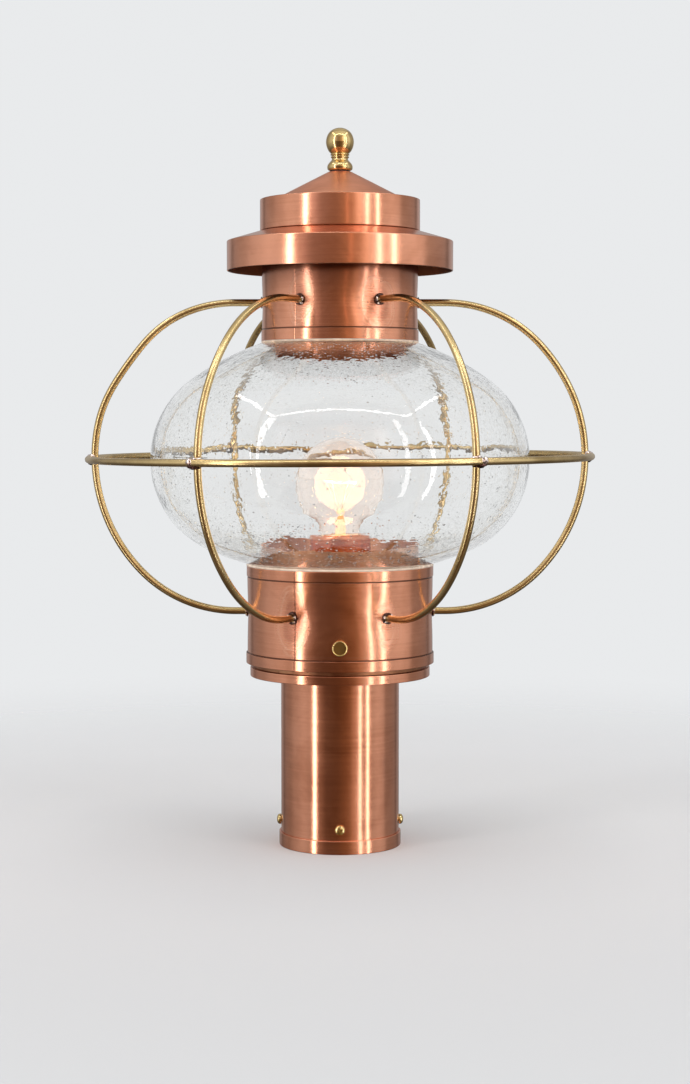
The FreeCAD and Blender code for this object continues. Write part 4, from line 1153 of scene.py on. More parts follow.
@dataclass
class Finial:
    """The turned brass finial: a threaded hole, a rounded foot, a neck with two fine rings, and a ball, as runs of
    (radius, height) in millimetres."""

    hole: Pairs = ((0.0, 464.4), (3.6, 464.4), (3.6, 450.8))
    foot: Pairs = (
        (7.3, 450.8), (8.15, 451.5), (8.45, 452.8), (8.3, 454.0), (7.7, 455.2), (6.8, 456.3), (5.95, 457.2),
        (5.5, 457.9), (5.35, 458.5), (5.45, 459.0))
    rings: Pairs = (
        (5.95, 459.25), (6.05, 459.6), (5.95, 460.0), (5.45, 460.25), (5.45, 460.65), (6.2, 460.9), (6.35, 461.25),
        (6.2, 461.6), (5.75, 461.8))
    ball: Pairs = (
        (5.75, 461.95), (6.6, 462.6), (7.75, 464.1), (8.65, 466.1), (9.15, 468.2), (9.25, 469.9), (9.0, 471.9),
        (8.3, 474.0), (7.1, 475.9), (5.5, 477.35), (3.6, 478.35), (1.7, 478.88), (0.0, 479.0))

    def build(self, shop: Workshop) -> None:
        """Turn the outline and make the piece."""
        curves = [smooth_line(np.array(run), steps)
                  for run, steps in ((self.foot, 6), (self.rings, 3), (self.ball, 8))]
        outline = np.concatenate([np.array(self.hole), *curves]) * MM
        shop.piece("finial_turned", lathe(outline, 96, closed=False), Body.FINIAL, Slot.BRASS, ("finial",),
                   Extra.TURNED_BRASS, 50.0)


@dataclass
class Globe:
    """The seeded glass globe: one blown shell, a pale ring at each end painted as a highlight on the glass's edge,
    and the seeds in its wall.

    A highlight ring is given by its name, the radius and height of its section's centre, and its half thickness. The
    seeds' size is in millimetres.
    """

    radius: float = 126.6 * MM
    middle: float = 259.0 * MM
    side_radius: float = 66.0 * MM
    crown_rise: float = 86.0 * MM
    foot_drop: float = 78.0 * MM
    wall: float = 3.0 * MM
    belly_wall: float = 1.2 * MM
    wedge: float = 0.016
    lower_neck: float = 56.5 * MM
    lower_end: float = 179.1 * MM
    upper_neck: float = 46.7 * MM
    upper_end: float = 350.8 * MM
    lower_ease: float = 8.0 * MM
    upper_ease: float = 4.4 * MM
    # the rings at the glass's edges, whose pale colour is a painted highlight
    edges: tuple[tuple[str, float, float, float], ...] = (
        ("globe_foot_highlight_ring", 61.95 * MM, 188.95 * MM, 0.85 * MM),
        ("globe_neck_highlight_ring", 51.7 * MM, 337.45 * MM, 0.8 * MM))
    uneven: float = 0.10 * MM
    segments: int = 276
    seed_count: int = 4650
    seed_size: float = 0.23
    seed_flat: float = 0.8
    seed_sway: float = 0.45
    seed_limits: tuple[float, float] = (0.1, 0.75)
    seed_pull: tuple[float, float] = (1.0, 1.9)
    seed_margins: tuple[float, float] = (6.0 * MM, 8.0 * MM)
    seed_draw: int = 11
    seed_bands: tuple[Triple, ...] = ((0.86, 0.13, 0.9), (-0.76, 0.14, 2.0))

    def meridian(self, inset: float, steps: int) -> Array:
        """The globe's outline from its lower neck to its upper neck, on the outer face or inset from it.

        It is a side arc between a foot arc and a crown arc whose centres are on the axis, each tangent to it, and
        a straight neck at each end. The corner between an end arc and its neck is eased by a curve.

        Args:
            inset: distance in from the outer face.
            steps: points on each arc.

        Returns:
            (n, 2) radii and heights.
        """
        side_centre = np.array([self.radius - self.side_radius, self.middle])
        halves, joins = [], []
        for reach, neck, end, ease, way in (
                (self.foot_drop, self.lower_neck, self.lower_end, self.lower_ease, -1.0),
                (self.crown_rise, self.upper_neck, self.upper_end, self.upper_ease, 1.0)):
            sweep = (side_centre[0] ** 2 + reach**2 - self.side_radius**2) / (2 * (reach - self.side_radius))
            join = math.atan2(sweep - reach, side_centre[0])
            last = math.acos((neck - inset) / (sweep - inset))
            centre = [0.0, self.middle + way * (reach - sweep)]
            line = arc(centre, sweep - inset, way * np.linspace(join, last, steps))
            corner = line[-1]
            kept = line[np.linalg.norm(line - corner, axis=1) > ease]
            beyond = corner + np.array([0.0, way * min(ease, 0.8 * abs(end - corner[1]))])
            bend = curve(kept[-1], corner, beyond, np.linspace(0.0, 1.0, 9)[1:, None])
            halves.append(np.concatenate([kept, bend, [[neck - inset, end]]]))
            joins.append(way * join)
        side = arc(side_centre, self.side_radius - inset, np.linspace(*joins, steps + 2)[1:-1])
        return np.concatenate([halves[0][::-1], side, halves[1]])

    def shell(self) -> Surface:
        """The glass wall: the outer outline up, the inner outline down. The inner face lies deeper in the belly, by
        belly_wall x cos^2 of the height, where blown glass is thicker, and by wedge x the depth below the middle,
        because the glass sagged while it was hot. Both faces are slightly uneven."""
        outer, inner = (spaced(self.meridian(inset, 40), 2.6 * MM, closed=False) for inset in (0.0, self.wall))
        surface = lathe(np.concatenate([outer, inner[::-1]]), self.segments)
        inside = np.repeat(np.arange(len(outer) + len(inner)) >= len(outer), self.segments)
        above = surface.points[:, 2] - self.middle
        fade = np.clip((self.foot_drop * 0.9 - np.abs(above)) / (20.0 * MM), 0.0, 1.0)
        belly = np.cos(np.clip(np.abs(above) / (self.foot_drop * 0.85), 0.0, 1.0) * math.pi / 2) ** 2
        deeper = self.belly_wall * belly - self.wedge * above * fade
        shift = waves(surface.points, 34.0 * MM, 5) * self.uneven * np.where(inside, 1.0, 0.35) * fade
        return surface.swollen(shift - np.where(inside, deeper, 0.0))

    def seeds(self) -> Surface:
        """Air bubbles inside the wall, pulled along the globe.

        Their places follow bands round the globe, denser near the shoulder and the foot: a band of middle m, width w
        and weight k adds k exp(-((height - m) / w)^2). A bubble is a small ball with its three directions stretched:
        centre + size (pull x along the ring + 1 x along the meridian + seed_flat x outward).
        """
        draw = np.random.default_rng(self.seed_draw)
        line = spaced(self.meridian(self.wall / 2, 60), 0.5 * MM, closed=False)
        below, above = self.seed_margins
        line = line[(line[:, 1] > self.lower_end + below) & (line[:, 1] < self.upper_end - above)]
        rise = np.gradient(line, axis=0)
        rise /= np.linalg.norm(rise, axis=1)[:, None]
        height = (line[:, 1] - self.middle) / self.crown_rise
        chance = line[:, 0] * (0.12 + sum(weight * np.exp(-(((height - middle) / width) ** 2))
                                          for middle, width, weight in self.seed_bands))
        pick = draw.choice(len(line), self.seed_count, p=chance / chance.sum())
        angle = draw.uniform(0.0, TURN, self.seed_count)
        size = draw.lognormal(math.log(self.seed_size), self.seed_sway, self.seed_count)
        size = np.clip(size, *self.seed_limits) * MM
        size *= 1.0 + 0.8 * np.clip((-height[pick] - 0.60) / 0.12, 0.0, 1.0)
        room = (self.wall / 2 - 0.15 * MM - size * self.seed_flat).clip(0.0)
        depth = draw.uniform(-1.0, 1.0, self.seed_count) * room
        pull = draw.uniform(*self.seed_pull, self.seed_count)
        radial, ring = polar(1.0, angle, 0.0), np.stack([-np.sin(angle), np.cos(angle), 0 * angle], axis=1)
        meridian = radial * rise[pick, :1] + UP * rise[pick, 1:]
        outward = np.cross(ring, meridian)
        centre = radial * line[pick, :1] + UP * line[pick, 1:] + outward * depth[:, None]
        spread = (ring * (size * pull)[:, None], meridian * size[:, None], outward * (size * self.seed_flat)[:, None])
        unit = ball(7, 4)
        points = centre[:, None] + sum(unit.points[None, :, axis, None] * spread[axis][:, None] for axis in range(3))
        numbers = np.arange(self.seed_count)[:, None, None] * len(unit.points)
        faces = np.where(unit.faces[None] < 0, -1, unit.faces[None] + numbers)
        return Surface(points.reshape(-1, 3), faces.reshape(-1, 4))

    @staticmethod
    def edge(radius: float, height: float, half: float) -> Surface:
        """A ring at an edge of the glass, with a round section about (radius, height), a little uneven; its pale
        colour is a painted highlight.
        """
        surface = lathe(arc([radius, height], half, np.linspace(0.0, TURN, 16, endpoint=False)), 192)
        return surface.moved(waves(surface.points, 30.0 * MM, 6)[:, None] * 0.05 * MM * UP)

    def build(self, shop: Workshop) -> None:
        """Make the shell, its highlight rings and the seeds."""
        pieces = [(name, self.edge(*size), (), Extra.HIGHLIGHT_EDGE, 60.0) for name, *size in self.edges]
        pieces += [("globe_shell", self.shell(), ("globe_bowl", "globe_crown"), None, 60.0),
                   ("globe_seeds", self.seeds(), (), Extra.SEED_AIR, 180.0)]
        for name, surface, nodes, finish, smooth_angle in pieces:
            shop.piece(name, surface, Body.CAGE, Slot.SEEDED_GLASS, nodes, finish, smooth_angle)


@dataclass
class Guard:
    """The brass guard: six bent ribs, the ring, the solder and flux that join them, and dark rings of painted shade
    round the ribs' ends.

    A lump of solder is given by its place out of, along and above its joint, and its size, in millimetres.
    """

    rod: float = 2.38 * MM
    middle: float = 260.6 * MM
    rise: float = 103.0 * MM
    stub: float = 70.0 * MM
    reach: float = 164.0 * MM
    shoulder_share: float = 0.936
    ring_radius: float = 167.2 * MM
    ring_tilt: float = 0.006
    drum_inner: float = 61.4 * MM
    collar_inner: float = 51.2 * MM
    drum_face: float = 62.2 * MM
    collar_face: float = 52.0 * MM
    sideways: tuple[float, ...] = (0.0, 0.4 * MM, -0.6 * MM, 0.3 * MM, -4.2 * MM, 0.5 * MM)
    pressed: tuple[float, ...] = (0.5 * MM, 0.0, 0.4 * MM, 3.2 * MM, 0.3 * MM, 0.2 * MM)
    press_height: float = 66.0 * MM
    press_spread: float = 24.0 * MM
    arc_steps: int = 72
    pitch: float = 5.0 * MM
    end_lumps: Lumps = (
        (0.75, 2.75, 0.4, (0.85, 0.95, 1.35)), (0.65, 1.7, -2.4, (0.7, 1.1, 0.8)), (0.8, -2.2, 1.9, (0.7, 0.9, 0.8)))
    lump_swell: float = 0.13
    # the dark rings of painted shade round the ribs' ends
    shade_ring_gap: float = 0.38 * MM
    shade_ring_size: float = 0.78 * MM
    shade_ring_out: float = 0.15 * MM
    shade_ring_squash: float = 0.62
    ring_lumps: Lumps = (
        (1.4, 3.0, 0.5, (1.7, 2.3, 2.1)), (0.6, 4.4, -1.0, (1.2, 1.6, 1.5)), (-1.6, 0.2, 2.5, (2.2, 2.6, 1.1)),
        (-2.0, -2.2, 1.9, (1.6, 1.3, 1.5)))
    ring_flux: Lumps = (
        (-0.9, 1.0, -2.7, (2.3, 3.2, 1.5)), (-1.8, -2.0, -2.2, (1.7, 1.6, 1.3)), (0.8, 2.6, -1.9, (1.5, 2.2, 1.3)))

    def rib_line(self) -> Array:
        """A rib's centre line as (distance from the axis, height): a level stub, a shoulder arc, a side arc, and the
        same again below.

        The arcs are tangent: the side arc's radius is (reach^2 + (rise - s)^2 - s^2) / 2 (reach - s) for a shoulder
        arc of radius s, with reach taken from the stub's end.
        """
        reach = self.reach - self.stub
        shoulder = self.shoulder_share * min(reach, self.rise)
        side = (reach**2 + (self.rise - shoulder) ** 2 - shoulder**2) / (2 * (reach - shoulder))
        join = math.atan2(self.rise - shoulder, side - reach)
        bend = np.linspace(math.pi / 2, join, self.arc_steps)
        upper = arc([self.stub, self.middle + self.rise - shoulder], shoulder, bend)
        outer = arc([self.stub + reach - side, self.middle], side, np.linspace(join, -join, self.arc_steps)[1:-1])
        lower = upper[::-1] * [1.0, -1.0] + [0.0, 2 * self.middle]
        ends = [[[self.collar_inner, self.middle + self.rise]], [[self.drum_inner, self.middle - self.rise]]]
        return spaced(np.concatenate([ends[0], upper, outer, lower, ends[1]]), self.pitch, closed=False)

    def rib(self, index: int) -> Surface:
        """One rib, bent by hand, so that it bows sideways by its own amount times 1 - (height / rise)^2, and is
        pressed in at its upper shoulder by its own amount times exp(-(distance from press_height / spread)^2)."""
        line = self.rib_line()
        above = line[:, 1] - self.middle
        bow = self.sideways[index] * (1.0 - (above / self.rise) ** 2).clip(0.0)
        press = self.pressed[index] * np.exp(-(((above - self.press_height) / self.press_spread) ** 2))
        path = np.stack([line[:, 0] - press * (line[:, 0] > self.stub), bow, line[:, 1]], axis=1)
        return tube(path, self.rod).spun(index * TURN / RIBS)

    def ring(self) -> Surface:
        """The ring: a circle that stands a little higher on the right, z = middle + tilt x."""
        angle = np.linspace(0.0, TURN, 360, endpoint=False)
        x = self.ring_radius * np.cos(angle)
        return tube(polar(self.ring_radius, angle, self.middle + self.ring_tilt * x), self.rod, closed=True)

    @staticmethod
    def round_ribs(make: Callable[[int, float], Surface]) -> Surface:
        """What is made for each rib from its number and its azimuth in radians, turned to its azimuth."""
        turns = [index * TURN / RIBS for index in range(RIBS)]
        return Surface.joined([make(index, turn).spun(turn) for index, turn in enumerate(turns)])

    def lumps(self, pattern: Lumps, hand: float, at: Array, seed: int) -> Surface:
        """Lumps of solder: balls stretched to their sizes, swollen by seeded waves, and placed about a joint, with
        the places along it mirrored when hand is -1."""
        shapes = []
        for number, (out, side, up, size) in enumerate(pattern):
            shape = ball(24, 14)
            swell = 1.0 + self.lump_swell * waves(shape.points, 1.1, seed + number)
            shape = Surface(shape.points * swell[:, None] * np.array(size) * MM, shape.faces)
            shapes.append(shape.moved(np.array([out, side * hand, up]) * MM + at))
        return Surface.joined(shapes)

    def end_shade_ring(self, face: float, height: float, seed: int) -> Surface:
        """Painted shade round each rib's end, for the dark gap of the hole it goes through: a dark flattened ring
        round the rod, swollen unevenly, against a wall's face."""
        angle = np.linspace(0.0, TURN, 40, endpoint=False)

        def bead(index: int, _: float) -> Surface:
            """The ring of one rib."""
            reach = (self.rod + self.shade_ring_gap) * (1.0 + 0.05 * np.cos(angle * 2 + index))
            ring = np.stack([0 * angle, reach * np.cos(angle), 1.12 * reach * np.sin(angle)], axis=1)
            size = self.shade_ring_size * (1.0 + 0.25 * waves(ring + [index * 0.1, 0, 0], 5 * MM, seed + index))
            shape = tube(ring, size, 12, closed=True)
            squashed = shape.points * [self.shade_ring_squash, 1.0, 1.0]
            return Surface(squashed + [face + self.shade_ring_out, 0.0, height], shape.faces)

        return self.round_ribs(bead)

    def end_solder(self, face: float, height: float, seed: int) -> Surface:
        """Bright blobs of solder in the flux, on the side of each rib's end that the iron reached, and one below."""
        return self.round_ribs(lambda index, turn: self.lumps(
            self.end_lumps, 1.0 if math.cos(turn) < 0.0 else -1.0, np.array([face, 0.0, height]), seed + index * 5))

    def crossing(self, pattern: Lumps, seed: int) -> Surface:
        """Lumps at each crossing of the ring and a rib."""
        return self.round_ribs(lambda index, turn: self.lumps(
            pattern, 1.0 if math.cos(turn) > 0.2 or index in (1, 2) else -1.0,
            np.array([self.ring_radius, self.sideways[index],
                      self.middle + self.ring_tilt * self.ring_radius * math.cos(turn)]), seed + index * 7))

    def build(self, shop: Workshop) -> None:
        """Make the ribs, the ring, the solder, the flux, and the dark rings of painted shade round the ribs' ends."""
        rods = [(f"guard_rib_{index + 1}", self.rib(index)) for index in range(RIBS)] + [("guard_ring", self.ring())]
        for name, surface in rods:
            shop.piece(f"{name}_rod", surface, Body.CAGE, Slot.BRASS, (name,))
        top, bottom = self.middle + self.rise, self.middle - self.rise
        for name, surface, nodes, finish in (
                ("solder_top_beads", self.end_solder(self.collar_face, top, 70), ("solder_top",), None),
                ("solder_bottom_beads", self.end_solder(self.drum_face, bottom, 110), ("solder_bottom",), None),
                ("solder_ring_lumps", self.crossing(self.ring_lumps, 150), ("solder_ring",), None),
                # the shade rings are painted shade for the gaps round the ribs' ends
                ("shade_top_rings", self.end_shade_ring(self.collar_face, top, 200), (), Extra.BURNT_FLUX_AND_SHADE),
                ("shade_bottom_rings", self.end_shade_ring(self.drum_face, bottom, 230), (), Extra.BURNT_FLUX_AND_SHADE),
                ("flux_ring_lumps", self.crossing(self.ring_flux, 260), (), Extra.BURNT_FLUX_AND_SHADE)):
            shop.piece(name, surface, Body.CAGE, Slot.SOLDER, nodes, finish)


@dataclass
class Bulb:
    """The clear bulb: its glass, the stem inside, the lead wires, the supports and the coiled wire. The stem, a lead
    and a support are given by their points in millimetres."""

    middle: float = 242.9 * MM
    radius: float = 29.6 * MM
    neck: float = 13.3 * MM
    fillet: float = 12.0 * MM
    bottom: float = 191.5 * MM
    wall: float = 0.7 * MM
    coil_height: float = 243.5 * MM
    coil_ring: float = 10.6 * MM
    coil_radius: float = 0.42 * MM
    coil_wire: float = 0.17 * MM
    coil_turns: int = 64
    lead_wire: float = 0.22 * MM
    support_wire: float = 0.13 * MM
    coil_arc: tuple[float, float] = (120.0, 300.0)
    supports: int = 4
    support_arc: tuple[float, float] = (165.0, 210.0)
    stem_points: Pairs = (
        (12.2, 191.9), (11.6, 192.7), (8.6, 194.2), (5.4, 197.2), (3.9, 201.4), (3.5, 207.0), (3.4, 213.0),
        (3.3, 217.0), (2.7, 219.6), (1.9, 221.2), (1.6, 222.6), (2.2, 223.9), (2.5, 224.9), (1.9, 225.8),
        (0.9, 226.1), (0.0, 226.15))
    lead_points: tuple[Triple, ...] = (
        (1.3, 0.0, 219.5), (1.7, 0.2, 225.0), (2.8, 2.6, 232.0), (5.0, 7.6, 240.5), (5.5, 9.35, 243.2))
    support_points: Pairs = (
        (0.8, 224.8), (3.4, 231.0), (7.6, 239.0), (10.0, 242.3), (11.25, 243.5), (10.6, 244.25))

    def half(self, inset: float) -> Array:
        """The glass's outline from its neck up to its top: a straight neck, a hollow fillet tangent to it, and the
        round part about the middle."""
        centre = np.array([self.neck + self.fillet, 0.0])
        centre[1] = self.middle - math.sqrt((self.radius + self.fillet) ** 2 - centre[0] ** 2)
        lean = math.atan2(centre[1] - self.middle, centre[0])
        hollow = arc(centre, self.fillet + inset, np.linspace(math.pi, math.pi + lean, 14))
        dome = arc([0.0, self.middle], self.radius - inset, np.linspace(lean, math.pi / 2, 60)[1:])
        dome[-1, 0] = 0.0
        return np.concatenate([[[self.neck - inset, self.bottom]], hollow, dome])

    def envelope(self) -> Surface:
        """The glass wall: the inner outline down from the top, then the outer outline up."""
        return lathe(np.concatenate([self.half(self.wall)[::-1], self.half(0.0)]), 160, closed=False)

    def stem(self) -> Surface:
        """The glass stem: a flare, a tube, a pinched seal and a button, turned about the axis."""
        outline = smooth_line(np.array(self.stem_points), 4) * MM
        outline[-1, 0] = 0.0
        return lathe(np.concatenate([[[0.0, self.stem_points[0][1] * MM]], outline]), 64, closed=False)

    def coil(self) -> Surface:
        """The hot wire: a helix round an arc that is open towards the back."""
        start, sweep = (math.radians(angle) for angle in self.coil_arc)
        t = np.linspace(0.0, 1.0, self.coil_turns * 10)
        winding = t * self.coil_turns * TURN
        path = polar(self.coil_ring + self.coil_radius * np.cos(winding), start + t * sweep,
                     self.coil_height + self.coil_radius * np.sin(winding))
        return tube(path, self.coil_wire, 6)

    def wires(self) -> Surface:
        """The two leads, and the supports that fan out from the stem's button, each with a hook round the coil."""
        runs = [tube(smooth_line(np.array(self.lead_points) * [side, 1.0, 1.0] * MM, 6), self.lead_wire, 8)
                for side in (-1.0, 1.0)]
        out, height = np.array(self.support_points).T
        start, sweep = self.support_arc
        for index in range(self.supports):
            angle = math.radians(start + index * sweep / (self.supports - 1))
            runs.append(tube(smooth_line(polar(out, angle, height) * MM, 5), self.support_wire, 6))
        return Surface.joined(runs)

    def build(self, shop: Workshop) -> None:
        """Make the glass, the stem, the wires and the coil."""
        for name, surface, slot, node, finish, smooth_angle in (
                ("bulb_envelope", self.envelope(), Slot.BULB_GLASS, "bulb_glass", None, 60.0),
                ("bulb_stem_turned", self.stem(), Slot.BULB_GLASS, "bulb_stem", Extra.LIT_STEM, 60.0),
                ("bulb_lead_wires", self.wires(), Slot.NICKEL, "bulb_leads", None, 40.0),
                ("bulb_coil", self.coil(), Slot.FILAMENT, "bulb_filament", None, 180.0)):
            shop.piece(name, surface, Body.BULB, slot, (node,), finish, smooth_angle)


@dataclass
class Screws:
    """The four set screws with crossed slots, and the knurled thumb screw with its sunk face. The outlines are
    (radius, length) in millimetres, and sides holds each set screw's name, outward direction and turn in degrees."""

    set_height: float = 16.3 * MM
    set_seat: float = 39.85 * MM
    head: Pairs = (
        (1.75, -1.25), (1.75, 0.0), (3.3, 0.0), (3.45, 0.15), (3.45, 0.85), (3.38, 1.25), (3.12, 1.75), (2.65, 2.22),
        (2.0, 2.56), (1.2, 2.76), (0.5, 2.84), (0.0, 2.85))
    slot_reach: float = 1.95 * MM
    slot_half: float = 0.36 * MM
    slot_depth: float = 1.3 * MM
    slot_side: float = 0.12 * MM
    slot_end: float = 0.3 * MM
    slot_bottom: float = 1.0 * MM
    sides: tuple[tuple[str, float, float, float], ...] = (
        ("set_screw_right", 1.0, 0.0, 20.0), ("set_screw_back", 0.0, 1.0, -15.0),
        ("set_screw_left", -1.0, 0.0, 40.0), ("set_screw_front", 0.0, -1.0, 24.0))
    thumb_height: float = 139.1 * MM
    thumb: Pairs = (
        (0.0, 58.6), (2.1, 58.6), (2.1, 62.8), (4.3, 62.8), (5.15, 63.5), (5.15, 65.7), (4.85, 66.15), (4.55, 66.3),
        (4.3, 66.1), (4.2, 65.5), (0.0, 65.35))
    rim: float = 4.95 * MM
    teeth: int = 44
    tooth_depth: float = 0.035

    def set_screw(self, turn: float) -> Surface:
        """A screw about its own axis: a domed head over a shank. Two crossed slots sink the dome by depth x
        (1 - 0.3 r / reach) where the nearer slot's middle is within its half width and r is within its reach."""
        edge = spaced(np.array(self.head) * MM, 0.09 * MM, closed=False)
        shape = lathe(np.concatenate([[[0.0, self.head[0][1] * MM]], edge]), 120, closed=False)
        x, y, z = shape.points.T
        c, s = math.cos(math.radians(turn)), math.sin(math.radians(turn))
        nearer = np.minimum(np.abs(c * x + s * y), np.abs(c * y - s * x))
        radius = np.hypot(x, y)
        inside = np.clip((self.slot_half - nearer) / self.slot_side + 0.5, 0.0, 1.0)
        inside *= np.clip((self.slot_reach - radius) / self.slot_end + 0.5, 0.0, 1.0)
        sink = np.where(z > self.slot_bottom, self.slot_depth * (1.0 - 0.3 * radius / self.slot_reach) * inside, 0.0)
        return Surface(np.stack([x, y, z - sink], axis=1), shape.faces)

    def thumb_screw(self) -> Surface:
        """The thumb screw about its own axis: a turned outline. Its rim is cut into teeth, r (1 - tooth_depth tooth)
        with tooth a cosine wave from 0 to 1."""
        outline = spaced(rounded_outline(np.array(self.thumb) * MM, 0.12 * MM, 2)[3:-3], 0.8 * MM, closed=False)
        outline[[0, -1], 0] = 0.0
        shape = lathe(outline, self.teeth * 8, closed=False)
        x, y, _ = shape.points.T
        tooth = 0.5 - 0.5 * np.cos(np.arctan2(y, x) * self.teeth)
        cut = 1.0 - self.tooth_depth * tooth * np.clip((np.hypot(x, y) - self.rim) / (0.15 * MM), 0.0, 1.0)
        return Surface(shape.points * np.stack([cut, cut, np.ones_like(cut)], axis=1), shape.faces)

    def build(self, shop: Workshop) -> None:
        """Make the five screws, each facing outward."""
        for name, x, y, turn in self.sides:
            outward = np.array([x, y, 0.0])
            shape = self.set_screw(turn).turned_to(outward).moved(outward * self.set_seat + UP * self.set_height)
            shop.piece(f"{name}_slotted", shape, name, Slot.BRASS, (name,), Extra.BRIGHT_BRASS, 35.0)
        shape = self.thumb_screw().turned_to(np.array([0.0, -1.0, 0.0])).moved(UP * self.thumb_height)
        shop.piece("thumb_screw_knurled", shape, Body.THUMB_SCREW, Slot.BRASS, ("thumb_screw",),
                   Extra.BRIGHT_BRASS, 35.0)


# Studio ----------------------------------------------------------------------------------------------


@dataclass(frozen=True)
class LightPanel:
    """A flat light that faces a point. Rays that pass glass or come from the camera don't see it."""

    name: str
    place: Triple
    size: tuple[float, float]
    radiance: float
    aim: Triple
    tone: Colour = (1.0, 0.965, 0.96)
    mirrored: bool = True

    def build(self) -> None:
        """Add the light. A rectangle's power is four times its radiance times its area."""
        light = bpy.data.lights.new(self.name, "AREA")
        light.shape = "RECTANGLE"
        light.size, light.size_y = self.size
        light.energy = 4.0 * self.radiance * self.size[0] * self.size[1]
        light.color = self.tone
        holder = added(self.name, light, self.place)
        holder.rotation_euler = (Vector(self.place) - Vector(self.aim)).to_track_quat("Z", "Y").to_euler()
        holder.visible_camera = holder.visible_transmission = False
        holder.visible_glossy = self.mirrored
        LOG.info("light %s", self.name)


@dataclass
class Studio:
    """A white light tent with an open, dark front, a pale floor and the photograph's camera, whose focal length is
    given in pixels of the photograph. The stops are colours by compass direction or by lift above the horizon, both
    in degrees."""

    pale: Colour = (0.815, 0.827, 0.838)
    floor_tone: Colour = (0.70, 0.712, 0.722)
    floor_painted_shades: tuple[float, float] = (0.92, 1.10)
    floor_radius: float = 2.2
    floor_fade: tuple[float, float] = (0.22, 0.95)
    ceiling: Colour = (0.92, 0.91, 0.88)
    fill: Colour = (0.56, 0.56, 0.5656)
    glow_place: Triple = (0.0, 0.0, 0.2435)
    glow_radius: float = 0.022
    glow_power: float = 0.26
    glow_tone: Colour = (1.0, 0.62, 0.26)
    sensor: float = 36.0
    focal_pixels: float = 2090.0
    tall_pixels: float = 1084.0
    camera_place: Triple = (0.00335, -1.4, 0.28947)
    camera_tilt: float = 3.5
    wall_stops: Stops = (
        (-180.0, (0.42, 0.41, 0.41)), (-150.0, (0.46, 0.45, 0.45)), (-141.0, (0.22, 0.20, 0.19)),
        (-133.0, (0.40, 0.38, 0.37)), (-116.0, (0.46, 0.44, 0.42)), (-96.0, (0.70, 0.69, 0.68)),
        (-74.0, (0.88, 0.87, 0.86)), (-54.0, (0.62, 0.60, 0.58)), (-40.0, (0.30, 0.26, 0.23)),
        (20.0, (0.40, 0.33, 0.28)), (32.0, (0.86, 0.82, 0.78)), (60.0, (0.72, 0.70, 0.68)),
        (80.0, (0.95, 0.94, 0.92)), (92.0, (0.84, 0.82, 0.80)), (101.0, (0.44, 0.42, 0.40)),
        (132.0, (0.40, 0.38, 0.37)), (141.0, (0.22, 0.20, 0.19)), (150.0, (0.46, 0.45, 0.45)),
        (180.0, (0.42, 0.41, 0.41)))
    room_stops: Stops = (
        (-60.0, (0.22, 0.17, 0.13)), (-42.0, (0.060, 0.043, 0.032)), (-26.0, (0.026, 0.017, 0.011)),
        (-6.0, (0.024, 0.014, 0.0075)), (8.0, (0.034, 0.019, 0.009)), (18.0, (0.046, 0.027, 0.0135)),
        (28.0, (0.110, 0.075, 0.046)), (60.0, (0.22, 0.19, 0.16)))
    wall_lift: Stops = (
        (-90.0, (0.13, 0.10, 0.08)), (-30.0, (0.27, 0.24, 0.22)), (-11.0, (0.64, 0.62, 0.61)),
        (-3.0, (0.90, 0.90, 0.90)), (6.0, (1.0, 1.0, 1.0)), (90.0, (1.0, 1.0, 1.0)))
    room_lift: Stops = (
        (-90.0, (0.7, 0.7, 0.7)), (-10.0, (1.38, 1.42, 1.6)), (-6.0, (0.88, 0.85, 0.82)), (-2.0, (1.2, 1.2, 1.2)),
        (3.0, (2.3, 2.4, 2.5)), (4.8, (2.8, 3.3, 4.6)), (5.8, (4.4, 5.3, 7.4)), (90.0, (4.8, 6.2, 8.6)))
    room_gain: float = 4.0
    panels: tuple[LightPanel, ...] = (
        LightPanel("strip_left", (-1.23, -1.05, 0.45), (0.165, 2.7), 5.6, (0.0, 0.0, 0.45)),
        LightPanel("strip_right", (1.31, -0.92, 0.45), (0.085, 2.7), 5.6, (0.0, 0.0, 0.45)),
        LightPanel("strip_right_inner", (1.01, -1.24, 0.45), (0.085, 2.7), 4.4, (0.0, 0.0, 0.45)),
        LightPanel("ceiling_front", (0.0, -1.29, 2.4), (3.15, 0.11), 7.0, (0.0, -1.29, 0.0)),
        LightPanel("ceiling_left", (-1.60, -0.36, 2.4), (0.12, 1.95), 6.0, (-1.60, -0.36, 0.0)),
        LightPanel("ceiling_right", (1.60, -0.36, 2.4), (0.12, 1.95), 6.0, (1.60, -0.36, 0.0)),
        LightPanel("doorway", (0.46, -2.46, 0.67), (0.13, 0.22), 1.2, (0.0, 0.0, 0.4), (1.0, 0.52, 0.32)),
        LightPanel("top", (0.0, 0.2, 2.6), (1.4, 1.4), 1.2, (0.0, 0.0, 0.25), mirrored=False))

    def tent(self, g: Graph, compass: Value, lift: Value, away: Value) -> Value:
        """What a mirror ray sees: the tent's walls, its dark front where the room shows, and its ceiling, by compass
        direction with 0 towards the camera, by lift, and by away, the compass direction without its sign."""
        walls = g.times(g.ramp(compass, self.wall_stops, -180.0, 180.0), g.ramp(lift, self.wall_lift, -90.0, 90.0))
        room = g.times(g.ramp(compass, self.room_stops, -60.0, 60.0), g.ramp(lift, self.room_lift, -90.0, 90.0))
        room = g.value("VectorMath", {0: room, 3: self.room_gain}, operation="SCALE")
        front = g.between(compass, -48.0, -38.0) * g.between(compass, 36.0, 26.0) * g.between(lift, 45.0, 28.0)
        ceiling = g.between(lift, 34.0, 56.0) * g.between(away, 120.0, 80.0, 0.42, 1.0)
        return g.blend(ceiling, g.blend(front, walls, room), self.ceiling)

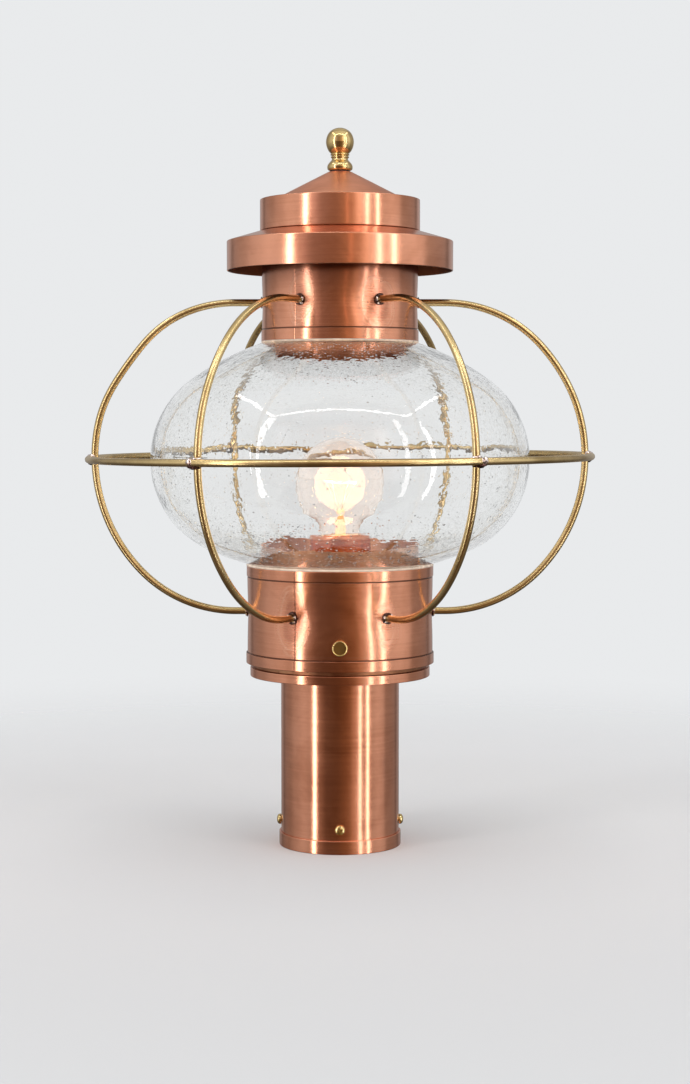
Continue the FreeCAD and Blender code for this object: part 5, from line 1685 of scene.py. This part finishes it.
    def build_world(self) -> None:
        """The light from all round.

        A camera ray sees the pale wall. So does a ray that goes straight on through glass, unless it is level and
        looks out of the front, and any mirror ray inside glass that looks out of the back. Other mirror rays see the
        tent, and the rest see an even fill.
        """
        world = bpy.data.worlds.new("tent")
        bpy.context.scene.world = world
        world.use_nodes = True
        g = Graph(world.node_tree)
        x, y, z = g.split(g.value("TexCoord", output="Generated"))
        compass = g.math("ARCTAN2", x, y * -1.0) * DEGREES
        lift = g.math("ARCSINE", z) * DEGREES
        away = abs(compass)
        through = g.ray("Is Transmission Ray")
        behind = g.most(g.ray("Is Singular Ray"), through) * g.between(away, 62.0, 100.0)
        level = g.between(lift, -15.0, -10.0) * g.between(lift, 14.0, 9.0) * g.between(away, 70.0, 50.0)
        straight = through * g.math("LESS_THAN", g.ray("Glossy Depth"), 0.5) * g.math("SUBTRACT", 1.0, level)
        seen = g.most(g.ray("Is Camera Ray"), straight, behind)
        colour = g.blend(g.most(g.ray("Is Glossy Ray"), through), self.fill, self.tent(g, compass, lift, away))
        colour = g.blend(seen, colour, self.pale)
        g.output(g.value("Background", {"Color": colour, "Strength": 1.0}), "OutputWorld")

    def build_floor(self) -> None:
        """A round pale floor that fades into the wall's colour away from the lantern, and keeps its shadow. Its
        colour
        is darker towards the camera: painted shade against the front lamps' stronger light there.
        """
        material, g = new_material("floor_pale")
        x, y, _ = g.split(g.place())
        # painted shade: the floor is darker towards the camera and lighter behind the lantern
        near, far = (tuple(part * share for part in self.floor_tone) for share in self.floor_painted_shades)
        paper = g.value("BsdfDiffuse", {"Color": g.blend(g.between(y, -0.7, 0.15), near, far)})
        fade = g.between(g.reach(x, y), *self.floor_fade)
        g.output(g.value("MixShader", {0: fade, 1: paper, 2: g.value("BsdfTransparent")}))
        surface = lathe(np.array([[self.floor_radius, 0.0], [0.0, 0.0]]), 64, closed=False)
        floor = added("floor", surface.mesh("floor", material))
        floor.visible_glossy = False

    def build_camera(self) -> None:
        """The photograph's camera: 1.4 m in front, a little above the middle, tilted down."""
        data = bpy.data.cameras.new("camera")
        data.sensor_width = self.sensor
        data.lens = self.sensor * self.focal_pixels / self.tall_pixels
        camera = added("camera", data, self.camera_place)
        camera.rotation_euler = (math.radians(90.0 - self.camera_tilt), 0.0, 0.0)
        bpy.context.scene.camera = camera

    def build_glow(self) -> None:
        """A small warm light at the bulb's hot wire, for its light on the copper below."""
        light = bpy.data.lights.new("bulb_glow", "POINT")
        light.energy = self.glow_power
        light.color = self.glow_tone
        light.shadow_soft_size = self.glow_radius
        holder = added("bulb_glow", light, self.glow_place)
        holder.visible_camera = holder.visible_transmission = False

    def build(self) -> None:
        """Make the world, the floor, the camera and the lights."""
        bpy.context.scene.view_settings.view_transform = "Standard"
        self.build_world()
        self.build_floor()
        self.build_camera()
        self.build_glow()
        for panel in self.panels:
            panel.build()


def main() -> None:
    """Build the lantern's finishes, its pieces and the studio."""
    logging.basicConfig(level=logging.INFO, format="%(name)s: %(message)s")
    shop = Workshop()
    shop.dress_frame()
    for assembly in (Foot(), Screws(), Drum(), Globe(), Bulb(), Collar(), Guard(), Hood(), Finial()):
        LOG.info("assembly %s", type(assembly).__name__.lower())
        assembly.build(shop)
    Studio().build()


if __name__ == "__main__":
    main()
